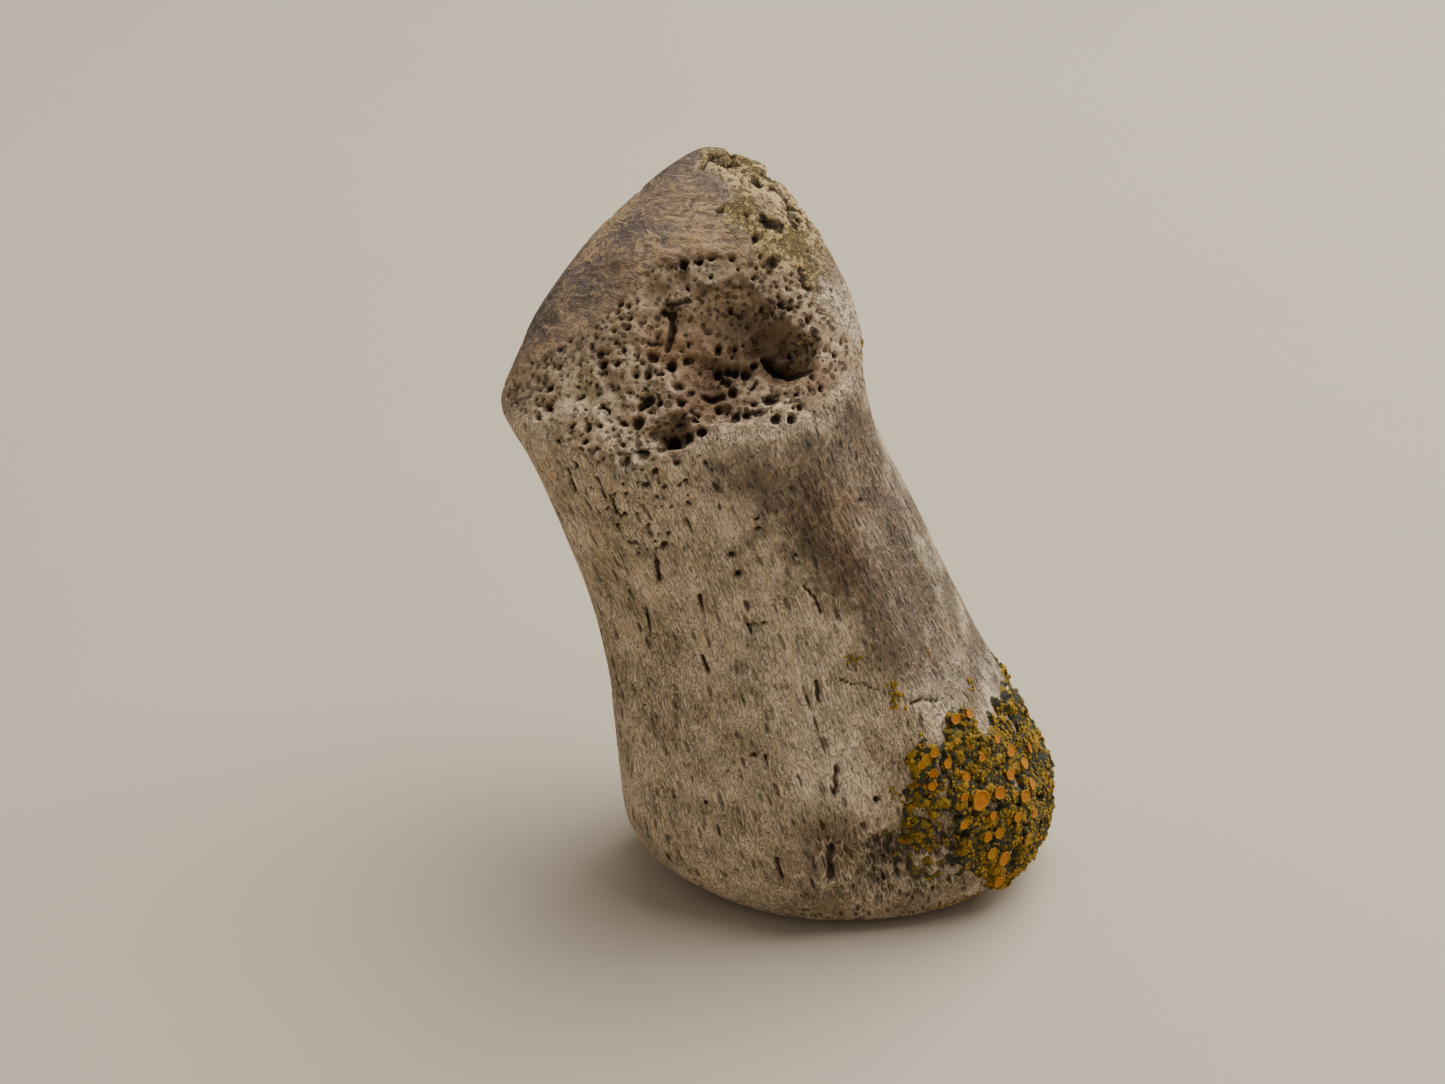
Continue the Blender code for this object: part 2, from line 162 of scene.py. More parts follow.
def skinPoint(station, angle):
    point = loftPoint(station, angle)
    return point + loftNormal(station, angle) * relief(point, angle)[..., None]


def smoothStep(low, high, value):
    # s(t) = t^2 (3 - 2t) with t = (value - low) / (high - low), held between 0 and 1
    part = np.clip((value - low) / (high - low), 0.0, 1.0)
    return part * part * (3 - 2 * part)


def randomOf(cells, salt):
    # hash of a grid cell: the fraction of 43758.5453 |sin(c . k + salt)|
    mixed = cells @ np.array([12.9898, 78.233, 37.719]) + 3.17 * salt
    return np.modf(np.abs(np.sin(mixed)) * 43758.5453)[0]


def valueNoise(points, size, salt=0.0):
    # n(p) = the sum over a cell's eight corners of a random value times the product of s(f) or 1 - s(f),
    # brought to the range from -1 to 1
    cell = np.floor(points / size)
    part = points / size - cell
    part = part * part * (3 - 2 * part)
    total = 0.0
    for corner in itertools.product((0, 1), repeat=3):
        weight = np.prod(np.where(corner, part, 1 - part), axis=-1)
        total = total + weight * randomOf(cell + corner, salt)
    return 2 * total - 1


def fractalNoise(points, size, octaves=4, salt=0.0):
    # the sum of n(p 2^k) / 2^k over the octaves k
    layers = [valueNoise(points, size / 2**k, salt + k) / 2**k for k in range(octaves)]
    return sum(layers)


def noiseVectors(points, size, octaves, salts):
    # one fractal noise for each salt, side by side
    return np.stack([fractalNoise(points, size, octaves, salt) for salt in salts], axis=-1)


def cellNoise(points, size, salt=0.0):
    # Worley cells: each cube of the grid holds a seed q; returns the two least |p/size - q|
    # and a random number that belongs to the nearest seed
    scaled = points / size
    home = np.floor(scaled)
    nearest = np.full(scaled.shape[:-1], 9.0)
    second = nearest.copy()
    number = np.zeros_like(nearest)
    for step in itertools.product((-1, 0, 1), repeat=3):
        cube = home + step
        seed = np.stack([randomOf(cube, salt + axis + 1) for axis in range(3)], axis=-1)
        distance = np.linalg.norm(scaled - cube - seed, axis=-1)
        closer = distance < nearest
        second = np.where(closer, nearest, np.minimum(second, distance))
        number = np.where(closer, randomOf(cube, salt + 9), number)
        nearest = np.where(closer, distance, nearest)
    return nearest, second, number


def pixelsOf(points):
    # pinhole, with p from the eye: u = w/2 + f (p . right) / (p . forward),
    # v = h/2 - f (p . up) / (p . forward)
    ray = points - photo["eye"]
    depth = ray @ lookForward
    across = photo["width"] / 2 + photo["focus"] * (ray @ lookRight) / depth
    down = photo["height"] / 2 - photo["focus"] * (ray @ lookUp) / depth
    return np.stack([across, down], axis=-1)


def facing(points, normals):
    # the cosine between the normal and the way to the photo's camera
    return np.sum(normals * unit(photo["eye"] - points), axis=-1)


def seenShare(points, normals):
    # 1 where the surface faces the photo's camera, 0 where it faces away
    return smoothStep(-0.05, 0.10, facing(points, normals))


# A grid of skin points that face the photo's camera, so that a pixel gives a place on the bone
seekStation, seekAngle = np.meshgrid(
    np.linspace(0.1, len(sections) - 1.1, 420), np.linspace(-3.4, 0.6, 420), indexing="ij"
)
seekPoint = skinPoint(seekStation, seekAngle)
seekNormal = loftNormal(seekStation, seekAngle)
seen = facing(seekPoint, seekNormal) > 0.02
seekStation, seekAngle = seekStation[seen], seekAngle[seen]
seekPoint, seekNormal = seekPoint[seen], seekNormal[seen]
seekPixel = pixelsOf(seekPoint)


def onBone(pixels):
    # the seen skin point whose pixel is nearest: returns stations, angles, points and normals
    gaps = ((seekPixel[None] - np.asarray(pixels, float)[:, None]) ** 2).sum(-1)
    found = gaps.argmin(1)
    return seekStation[found], seekAngle[found], seekPoint[found], seekNormal[found]


def insideOf(pixels, outline, soft):
    # signed pixel distance to the outline, positive inside, as a smooth step of this softness
    corners = np.array(outline, float)
    inside = np.zeros(len(pixels), bool)
    nearest = np.full(len(pixels), 1e9)
    for start, end in zip(corners, np.roll(corners, -1, axis=0)):
        side = end - start
        along = np.clip((pixels - start) @ side / (side @ side), 0, 1)
        nearest = np.minimum(nearest, np.linalg.norm(pixels - start - along[:, None] * side, axis=1))
        crosses = (start[1] > pixels[:, 1]) != (end[1] > pixels[:, 1])
        reach = start[0] + (pixels[:, 1] - start[1]) * side[0] / (side[1] if side[1] else 1e-9)
        inside ^= crosses & (pixels[:, 0] < reach)
    return smoothStep(-soft, soft, np.where(inside, nearest, -nearest))


def spotsOf(points, spots):
    # the sum of a exp(-(d/r)^2) over the spots (x pixel, y pixel, reach in mm, amount)
    table = np.array(spots, float)
    middles = onBone(table[:, :2])[2]
    total = np.zeros(len(points))
    for middle, (_, _, reach, amount) in zip(middles, table):
        total += amount * np.exp(-(((points - middle) ** 2).sum(-1)) / reach**2)
    return total


def scoopDepth(points, normals):
    # the deepest root s of |q + s e| = 1 over the ellipsoids that a point is inside of, q and e being
    # the point and the inward step in the ellipsoid's own frame
    deepest = np.zeros(len(points))
    for level, degrees, halfWidth, halfHeight, depth, turn in scoops:
        station, angle = np.array(stationOf(level)), np.array(math.radians(degrees))
        outward = loftNormal(station, angle)
        up = loftPoint(station + nudge, angle) - loftPoint(station - nudge, angle)
        across = unit(np.cross(up, outward))
        up = np.cross(outward, across)
        turned = math.radians(turn)
        sideways = across * math.cos(turned) + up * math.sin(turned)
        upward = up * math.cos(turned) - across * math.sin(turned)
        radius = depth / (1 - scoopBulge)
        widening = 1 / math.sqrt(1 - scoopBulge**2)
        middle = skinPoint(station, angle) + outward * scoopBulge * radius
        axes = np.stack([
            sideways / (halfWidth * widening), upward / (halfHeight * widening), outward / radius
        ])
        start = (points - middle) @ axes.T
        step = -normals @ axes.T
        along = np.sum(start * step, axis=-1)
        length = np.sum(step * step, axis=-1)
        inside = 1 - np.sum(start * start, axis=-1)
        root = (np.sqrt(along**2 + length * np.maximum(inside, 0)) - along) / length
        deepest = np.maximum(deepest, np.where(inside > 0, root, 0))
    return deepest


def gridFaces(rows, columns):
    # quads between rows of a grid that closes on itself, and a fan to one point below it and one above
    row, column = np.meshgrid(np.arange(rows - 1), np.arange(columns), indexing="ij")
    here = row * columns + column
    beside = row * columns + (column + 1) % columns
    quads = np.stack([here, beside, beside + columns, here + columns], axis=-1).reshape(-1, 4)
    around = np.arange(columns)
    after = (around + 1) % columns
    low, high = rows * columns, rows * columns + 1
    top = (rows - 1) * columns
    fans = np.concatenate([
        np.stack([after, around, np.full(columns, low)], axis=-1),
        np.stack([top + around, top + after, np.full(columns, high)], axis=-1),
    ])
    return quads, fans


def addObject(name, data):
    made = bpy.data.objects.new(name, data)
    bpy.context.scene.collection.objects.link(made)
    return made


def makePiece(name, points, quads, fans, material, attributes):
    mesh = bpy.data.meshes.new(name)
    mesh.from_pydata((points * millimetre).tolist(), [], quads.tolist() + fans.tolist())
    for key, values in attributes.items():
        vector = values.ndim == 2
        made = mesh.attributes.new(key, "FLOAT_VECTOR" if vector else "FLOAT", "POINT")
        made.data.foreach_set("vector" if vector else "value", values.astype(np.float32).ravel())
    mesh.shade_smooth()
    mesh.materials.append(material)
    piece = addObject(name, mesh)
    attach(piece, "root")
    return piece


# Shaders
class Value:
    # a shader socket that takes part in plain arithmetic
    def __init__(self, graph, socket):
        self.graph = graph
        self.socket = socket

    def maths(self, operation, first, second):
        return self.graph.node("Math", {"operation": operation}, {0: first, 1: second})

    def __add__(self, other):
        return self.maths("ADD", self, other)

    __radd__ = __add__

    def __sub__(self, other):
        return self.maths("SUBTRACT", self, other)

    def __rsub__(self, other):
        return self.maths("SUBTRACT", other, self)

    def __mul__(self, other):
        return self.maths("MULTIPLY", self, other)

    __rmul__ = __mul__

    def larger(self, other):
        return self.maths("MAXIMUM", self, other)


class Graph:
    # the node tree of one new material
    def __init__(self, name):
        self.material = bpy.data.materials.new(name)
        self.material.use_nodes = True
        self.tree = self.material.node_tree

    def node(self, kind, settings, values, output=0):
        made = self.tree.nodes.new("ShaderNode" + kind)
        for key, setting in settings.items():
            setattr(made, key, setting)
        self.feed(made, values)
        return Value(self, made.outputs[output])

    def feed(self, target, values):
        for key, value in values.items():
            if isinstance(value, Value):
                self.tree.links.new(value.socket, target.inputs[key])
            else:
                target.inputs[key].default_value = value

    def place(self):
        return self.node("TexCoord", {}, {}, "Object")

    def attribute(self, name, output="Fac"):
        return self.node("Attribute", {"attribute_name": name}, {}, output)

    def noise(self, place, scale, detail=4.0, roughness=0.55):
        values = {"Vector": place, "Scale": scale, "Detail": detail, "Roughness": roughness}
        return self.node("TexNoise", {}, values)

    def cells(self, place, scale, feature="F1"):
        values = {"Vector": place, "Scale": scale}
        return self.node("TexVoronoi", {"feature": feature}, values, "Distance")

    def step(self, value, low, high):
        settings = {"interpolation_type": "SMOOTHSTEP"}
        return self.node("MapRange", settings, {0: value, 1: low, 2: high, 3: 0.0, 4: 1.0})

    def mix(self, amount, first, second):
        return self.node("Mix", {"data_type": "RGBA"}, {0: amount, 6: first, 7: second}, 2)

    def swirl(self, place, scale):
        # a smooth random vector, each part of it between 0 and 1
        return self.node("TexNoise", {}, {"Vector": place, "Scale": scale, "Detail": 2.0}, "Color")

    def warp(self, place, scale, amount):
        # place + amount times a smooth random vector
        bent = self.node("VectorMath", {"operation": "SCALE"}, {0: self.swirl(place, scale), "Scale": amount})
        return self.node("VectorMath", {"operation": "ADD"}, {0: place, 1: bent})

    def bump(self, height, strength, distance):
        return self.node(
            "Bump", {}, {"Strength": strength, "Distance": distance * millimetre, "Height": height}
        )

    def finish(self, values):
        self.feed(self.tree.nodes["Principled BSDF"], values)
        return self.material


def tone(red, green, blue):
    # an sRGB colour of 0 to 255 as linear light: ((c + 0.055) / 1.055)^2.4
    levels = np.array([red, green, blue]) / 255
    linear = np.where(levels < 0.04045, levels / 12.92, ((levels + 0.055) / 1.055) ** 2.4)
    return (*linear.tolist(), 1.0)


# The bone: rows and columns of its surface, cells and depths of its relief in mm, colours
bone = {
    "rowsPerSection": (14, 24, 34, 40, 38, 34, 28, 16, 24, 26, 24, 20, 18, 14, 8),
    "frontColumns": 200,
    "backColumns": 70,
    "baseRows": 5,
    "baseHollow": 0.25,
    "hollowWobble": 0.85,
    "grainSqueeze": 0.25,
    "largePoreCell": 1.35,
    "largePoreDepth": 0.95,
    "smallPoreCell": 0.82,
    "smallPoreDepth": 0.38,
    "rimHeight": 0.16,
    "slitCell": 0.95,
    "slitDepth": 0.34,
    "dotCell": 1.3,
    "dotDepth": 0.24,
    "ridgeHeight": 0.22,
    "lumpCell": 0.85,
    "lumpHeight": 0.45,
    "creviceDepth": 0.35,
    "dampCell": 1.1,
    "dampDepth": 0.42,
    "shaftPale": tone(244, 219, 184),
    "shaftGrey": tone(218, 196, 168),
    "shaftTan": tone(212, 178, 134),
    "shaftOlive": tone(180, 160, 124),
    "patina": tone(112, 96, 82),
    "patinaDark": tone(94, 82, 72),
    "ochre": tone(184, 144, 96),
    "rimPale": tone(202, 176, 140),
    "faceGrey": tone(138, 118, 96),
    "faceBrown": tone(104, 80, 58),
    # dark brown painted as the shade inside pores, pits, slits and cracks, and between fibres
    "holeShade": tone(44, 31, 22),
    "rust": tone(136, 98, 62),
    "jointSlate": tone(102, 89, 82),
    "jointBrown": tone(134, 112, 92),
    "jointFibre": tone(184, 152, 112),
    "jointTan": tone(160, 128, 94),
    "crust": tone(164, 138, 86),
    "crustPale": tone(182, 156, 112),
    # painted shade for the crest crust's crevices
    "crustCreviceShade": tone(48, 40, 28),
    "green": tone(58, 60, 44),
    "pale": tone(224, 200, 166),
    "roughness": 0.86,
}

# Outlines in photo pixels
brokenFace = (
    (505, 372), (545, 352), (572, 340), (607, 315), (630, 290), (650, 270), (680, 255), (715, 252),
    (755, 263), (785, 275), (815, 300), (840, 330), (862, 352), (858, 372), (820, 402), (760, 426),
    (715, 428), (700, 432), (690, 447), (650, 466), (600, 462), (560, 440), (505, 395),
)
smoothWall = (
    (686, 290), (700, 281), (727, 278), (755, 293), (770, 312), (784, 336), (770, 340), (745, 330),
    (720, 322), (698, 318),
)
jointSurface = (
    (500, 372), (545, 352), (572, 340), (607, 315), (630, 290), (650, 270), (680, 255), (715, 252),
    (755, 263), (742, 240), (728, 215), (724, 185), (712, 130), (600, 120), (480, 250),
)
crestCrust = (
    (700, 125), (760, 130), (830, 200), (850, 270), (815, 290), (785, 275), (760, 262), (744, 240),
    (728, 215), (722, 185), (704, 150),
)
patinaBand = (
    (705, 462), (760, 440), (800, 425), (868, 380), (905, 450), (960, 570), (1010, 680), (960, 690),
    (905, 685), (870, 640), (835, 605), (800, 575), (765, 550), (730, 520),
)
spongyShaft = (
    (560, 440), (600, 462), (650, 466), (690, 450), (700, 490), (670, 560), (620, 560), (570, 480),
)

# Pits in photo pixels: x, y, radius and depth in mm
pits = (
    (719, 362, 0.75, 1.0), (737, 360, 0.8, 1.1), (751, 362, 0.9, 1.3), (729, 373, 0.7, 0.9),
    (734, 385, 0.8, 1.1), (718, 405, 0.6, 0.8), (736, 415, 0.8, 1.1), (751, 410, 0.7, 0.9),
    (762, 411, 0.75, 1.1), (775, 396, 0.8, 0.9), (651, 341, 0.6, 0.9), (650, 355, 0.75, 1.0),
    (669, 359, 0.75, 1.1), (646, 374, 0.55, 0.9), (659, 371, 0.5, 0.8), (676, 381, 0.75, 1.0),
    (689, 387, 0.55, 0.8), (645, 399, 0.9, 1.0), (657, 401, 0.6, 0.8), (635, 421, 1.0, 1.2),
    (619, 421, 0.5, 0.8), (586, 429, 0.6, 0.9), (571, 427, 0.5, 0.8), (556, 442, 0.4, 0.7),
    (574, 467, 0.5, 0.7), (641, 455, 0.8, 1.1), (659, 450, 0.7, 0.9), (624, 465, 0.6, 0.9),
    (599, 352, 0.6, 0.7), (617, 362, 0.5, 0.7), (687, 436, 0.7, 1.1), (702, 432, 0.7, 0.9),
    (717, 342, 0.55, 0.9), (737, 337, 0.4, 0.8), (682, 353, 0.6, 0.9), (681, 262, 0.75, 1.2),
    (670, 312, 0.8, 1.3), (671, 326, 0.6, 1.0), (666, 340, 0.5, 0.8), (671, 441, 1.1, 1.6),
    (777, 420, 0.7, 0.8), (791, 419, 0.6, 0.8), (800, 408, 0.5, 0.6), (812, 377, 0.5, 0.6),
    (822, 388, 0.5, 0.6), (765, 303, 0.4, 0.6), (716, 303, 0.3, 0.5), (734, 302, 0.45, 0.9),
    (733, 557, 0.55, 0.8), (737, 577, 0.6, 0.8), (758, 519, 0.35, 0.5), (759, 529, 0.35, 0.5),
    (687, 506, 0.4, 0.6), (755, 623, 0.35, 0.5), (767, 622, 0.3, 0.5), (754, 757, 0.4, 0.5),
    (767, 754, 0.35, 0.5), (730, 770, 0.3, 0.4), (673, 797, 0.4, 0.5), (705, 802, 0.35, 0.4),
    (796, 557, 0.3, 0.4), (862, 502, 0.35, 0.5), (877, 802, 0.5, 0.6), (704, 665, 0.4, 0.5),
)

# Pits with green algae near the foot, in photo pixels: x, y, radius and depth in mm
dampPits = (
    (887, 846, 0.5, 0.6), (873, 840, 0.45, 0.5), (863, 827, 0.5, 0.5), (928, 863, 0.55, 0.6),
    (938, 876, 0.5, 0.5), (913, 882, 0.5, 0.5), (897, 874, 0.45, 0.5), (919, 852, 0.4, 0.4),
    (890, 890, 0.45, 0.4), (879, 899, 0.4, 0.3), (903, 897, 0.4, 0.3), (953, 865, 0.5, 0.5),
    (910, 856, 0.4, 0.4), (935, 889, 0.45, 0.4), (924, 873, 0.4, 0.4), (965, 869, 0.4, 0.4),
    (882, 859, 0.5, 0.5), (853, 850, 0.4, 0.4), (866, 862, 0.45, 0.5), (872, 880, 0.45, 0.4),
    (853, 888, 0.4, 0.4), (918, 893, 0.45, 0.3), (950, 880, 0.4, 0.3), (903, 838, 0.4, 0.4),
    (858, 872, 0.4, 0.4),
)

# Slits and cracks in photo pixels: the points they run through, half width and depth in mm
cracks = (
    (((654, 563), (656, 580)), 0.28, 0.7),
    (((699, 594), (702, 608)), 0.28, 0.7),
    (((660, 305), (672, 314), (670, 328), (665, 345)), 0.32, 0.9),
    (((805, 585), (815, 600), (822, 612)), 0.18, 0.4),
    (((837, 770), (837, 792)), 0.25, 0.5),
    (((827, 850), (829, 868), (832, 880)), 0.4, 0.8),
    (((776, 860), (781, 878)), 0.25, 0.5),
    (((837, 678), (850, 684), (861, 683), (871, 689), (880, 690)), 0.15, 0.22),
    (((912, 706), (922, 700), (938, 700)), 0.18, 0.3),
    (((645, 610), (649, 640)), 0.2, 0.4),
    (((702, 658), (706, 672)), 0.25, 0.5),
    (((815, 682), (817, 700)), 0.25, 0.5),
    (((700, 455), (712, 470), (720, 510)), 0.12, 0.25),
    (((742, 585), (748, 610), (752, 640)), 0.12, 0.3),
    (((807, 700), (818, 730), (826, 760)), 0.16, 0.3),
    (((774, 349), (788, 357), (812, 366)), 0.55, 1.3),
    (((664, 300), (676, 304), (690, 300)), 0.25, 0.5),
    (((700, 388), (712, 392), (722, 388)), 0.4, 0.9),
    (((596, 480), (604, 500)), 0.3, 0.6),
    (((610, 500), (616, 516)), 0.3, 0.6),
    (((566, 470), (574, 492)), 0.25, 0.5),
)

# Stains, painted shade and painted light in photo pixels: x, y, reach in mm, amount
stainsShadeAndLight = {
    "tan": (
        (690, 218, 2.2, 0.9), (655, 250, 1.8, 0.5), (600, 305, 2.4, 0.5), (560, 300, 2.0, 0.7),
        (585, 255, 2.0, 0.7), (612, 215, 2.0, 0.6), (640, 190, 1.8, 0.4), (530, 340, 2.0, 0.5),
        (700, 240, 1.6, 0.6), (575, 335, 2.0, 0.4),
    ),
    "rust": (
        (665, 322, 2.6, 0.7), (660, 340, 2.0, 0.5), (695, 360, 2.4, 0.4), (705, 392, 2.6, 0.5),
        (760, 345, 1.6, 0.5), (815, 380, 1.6, 0.6), (850, 500, 3.0, 0.3), (855, 560, 2.2, 0.3),
        (876, 770, 3.0, 0.8), (828, 595, 1.2, 0.6), (918, 706, 1.6, 0.7), (520, 375, 1.6, 0.6),
        (800, 835, 1.6, 0.4), (545, 450, 2.5, 0.3), (640, 300, 2.0, 0.4),
    ),
    # dark spots: real dark stain, and painted shade under the overhanging rim of the hollow, on the hollow's
    # wall and over the foot
    "dark": (
        (720, 380, 2.2, 0.7), (700, 400, 2.0, 0.9), (730, 350, 3.4, 0.35), (795, 357, 1.8, 1.0),
        (738, 318, 1.4, 0.8), (772, 335, 1.5, 0.8), (700, 385, 1.6, 0.7), (790, 352, 1.6, 0.8),
        (840, 520, 3.6, 0.7), (860, 570, 3.0, 0.6), (940, 850, 3.4, 0.5), (975, 868, 2.4, 0.5),
        (672, 441, 1.0, 0.8), (825, 850, 2.0, 0.6), (815, 830, 1.6, 0.5), (917, 668, 2.0, 0.5),
        (815, 490, 4.0, 0.6), (840, 530, 4.0, 0.5), (840, 880, 5.0, 0.6), (790, 880, 4.0, 0.4),
        (880, 900, 4.0, 0.5), (885, 620, 3.0, 0.4), (745, 320, 4.0, 0.45), (845, 265, 3.0, 0.5),
        (860, 400, 3.0, 0.4), (880, 460, 3.0, 0.4), (905, 650, 3.0, 0.4), (860, 840, 3.0, 0.6),
        (700, 820, 4.0, 0.2), (780, 352, 1.4, 0.7),
    ),
    # pale spots: real pale patches, and painted light over the left of the broken face
    "pale": (
        (905, 722, 2.4, 0.7), (900, 740, 2.0, 0.5), (960, 880, 2.6, 0.35), (685, 455, 2.6, 0.4),
        (985, 705, 1.6, 0.25), (640, 298, 2.0, 0.4), (715, 262, 3.0, 0.2), (790, 690, 3.0, 0.4),
        (930, 880, 2.0, 0.25), (730, 600, 4.0, 0.3), (1000, 720, 1.4, 0.25), (560, 400, 3.6, 0.25),
        (585, 395, 3.0, 0.2), (535, 420, 3.0, 0.3), (560, 380, 3.0, 0.2),
    ),
    "green": (
        (890, 850, 3.0, 0.9), (860, 840, 2.2, 0.6), (920, 860, 3.2, 0.9), (900, 885, 2.6, 0.8),
        (940, 850, 2.6, 0.9), (850, 890, 2.2, 0.5), (965, 868, 2.0, 0.7), (985, 880, 1.6, 0.6),
        (740, 650, 1.6, 0.3), (722, 668, 1.2, 0.3), (1010, 700, 2.4, 0.8), (957, 835, 2.4, 0.7),
    ),
}


def boneSurface():
    # skin - normal (scoop + relief) over a grid with columns closer at the front and rows as rowsPerSection
    # says; the relief is a sum of cell and fractal noises, each within its own part of the bone
    counts = bone["rowsPerSection"]
    stations = np.concatenate([np.arange(count) / count + row for row, count in enumerate(counts)])
    front = np.linspace(-math.pi, 0, bone["frontColumns"], endpoint=False)
    back = np.linspace(0, math.pi, bone["backColumns"], endpoint=False)
    angles = np.concatenate([front, back])
    station, angle = np.meshgrid(stations, angles, indexing="ij")
    shape = (len(stations), len(angles))
    station, angle = station.ravel(), angle.ravel()
    skin = skinPoint(station, angle)
    normal = loftNormal(station, angle)

    wobble = noiseVectors(skin, 2.4, 3, (20, 30, 40))
    hollow = scoopDepth(skin + bone["hollowWobble"] * wobble, normal)
    carved = skin - normal * hollow[:, None]

    towards = seenShare(skin, normal)
    pixel = pixelsOf(skin) + 6.0 * wobble[:, :2]
    face = insideOf(pixel, brokenFace, 5.0) * towards
    wall = insideOf(pixel, smoothWall, 4.0) * towards
    ragged = 3.2 * fractalNoise(skin, 7.0, 4, 27) + wobble[:, 0]
    # on the side away from the photo the joint surface reaches lower in tongues
    tongues = 3.0 * np.sin(2 * angle + 3.6)
    upper = smoothStep(51.5, 60.0, skin[:, 2] + ragged + tongues)
    leftBack = smoothStep(0.2, 0.9, np.abs(np.angle(np.exp(1j * (angle - 0.4)))))
    joint = insideOf(pixel, jointSurface, 6.0) * towards + (1 - towards) * upper * leftBack
    crumbled = pixel + 13.0 * noiseVectors(skin, 1.3, 3, (28, 29))
    crest = insideOf(crumbled, crestCrust, 9.0) * towards + (1 - towards) * upper * (1 - leftBack)
    crestTop = insideOf(pixel, crestCrust, 26.0) * towards * (1 - face) + (1 - towards) * upper
    spongyEdge = insideOf(pixel, spongyShaft, 14.0) * towards * (1 - face)
    shaft = np.clip(1 - face - joint - crest, 0, 1)

    # coordinates that follow the lean of the shaft, squeezed in height so that noise draws out along it
    lean = np.interp(skin[:, 2], sections[:, 0], sections[:, 1])
    grain = np.stack([skin[:, 0] - lean, skin[:, 1], bone["grainSqueeze"] * skin[:, 2]], axis=-1)
    # coordinates that run round the crest: distance from it, a short step for the way round, and height
    fromCrest = skin[:, :2] - np.array([-11.5, 11.0]) - tableShift[:2]
    distance = np.linalg.norm(fromCrest, axis=-1)
    turn = np.arctan2(fromCrest[:, 1], fromCrest[:, 0] - 1e-6)
    wayRound = 0.30 * distance * np.abs(turn + math.pi / 2)
    arcs = np.stack([distance, wayRound, 0.6 * skin[:, 2]], axis=-1) + 0.35 * wobble

    # spongy bone: round pores of two sizes, and thin rims between them
    near, second, number = cellNoise(carved, bone["largePoreCell"], 3)
    radius = 0.16 + 0.28 * number**2
    large = smoothStep(1.0, 0.45, near / radius) * (number > 0.35)
    rims = smoothStep(0.35, 0.0, second - near)
    near, _, number = cellNoise(carved, bone["smallPoreCell"], 5)
    small = smoothStep(1.0, 0.4, near / (0.24 + 0.24 * number)) * (number > 0.2)
    crumbs = fractalNoise(carved, 0.9, 3, 8)
    spongy = face * (1 - 0.45 * wall)
    sunk = bone["largePoreDepth"] * large + bone["smallPoreDepth"] * small
    depth = spongy * (sunk - bone["rimHeight"] * rims - 0.16 * crumbs) + 0.14 * face

    # the shaft: slits along the grain, small round pits and low ridges
    near, _, number = cellNoise(grain + 0.08 * wobble, bone["slitCell"], 11)
    slits = smoothStep(0.24, 0.10, near) * (number < 0.45)
    near, _, number = cellNoise(skin, bone["dotCell"], 13)
    dots = smoothStep(0.20, 0.08, near) * (number < 0.45)
    ridges = fractalNoise(grain, np.array([0.8, 0.8, 1.6]), 3, 15)
    patina = insideOf(pixel, patinaBand, 40.0) * towards
    weathered = 1 - 0.4 * patina
    sunk = bone["slitDepth"] * slits * (1 + spongyEdge) + bone["dotDepth"] * dots
    depth += shaft * weathered * (sunk - bone["ridgeHeight"] * ridges)
    depth += spongyEdge * (0.5 * large + 0.25 * small)

    # the joint surface is finely fibrous, the crust on the crest is lumpy
    depth -= joint * (0.12 * fractalNoise(arcs, 0.55, 2, 17) + 0.10 * fractalNoise(skin, 1.6, 3, 18))
    lumpy = fractalNoise(skin, 1.7, 4, 19)
    near, _, number = cellNoise(skin, bone["lumpCell"], 21)
    heaps = bone["lumpHeight"] * (1 - near) * number
    rough = smoothStep(-0.35, 0.35, fractalNoise(skin, 4.0, 2, 23) + 0.5)
    rough = rough * (1 - 0.6 * smoothStep(800, 840, pixel[:, 0]) * towards)
    crumbly = fractalNoise(skin, 0.8, 2, 24)
    depth -= crest * rough * (0.50 * lumpy + 0.22 * crumbly + heaps)
    crevice = crest * rough * smoothStep(0.05, -0.55, lumpy + 0.6 * crumbly)
    depth += bone["creviceDepth"] * crevice
    worn = 0.22 * fractalNoise(skin, 9.0, 2, 26) * (1 - towards) + 0.14 * fractalNoise(skin, 4.0, 3, 25)
    depth -= worn * np.clip(skin[:, 2] / 2, 0, 1)

    # damp pits near the foot, where green algae sit
    algae = np.clip(spotsOf(skin, stainsShadeAndLight["green"]), 0, 1) * towards
    places = grain * np.array([1.0, 1.0, 3.2]) + 0.20 * wobble
    near, _, number = cellNoise(places, bone["dampCell"], 31)
    moss = algae * smoothStep(0.60, 0.38, near) * (number < 0.85)
    depth += bone["dampDepth"] * moss

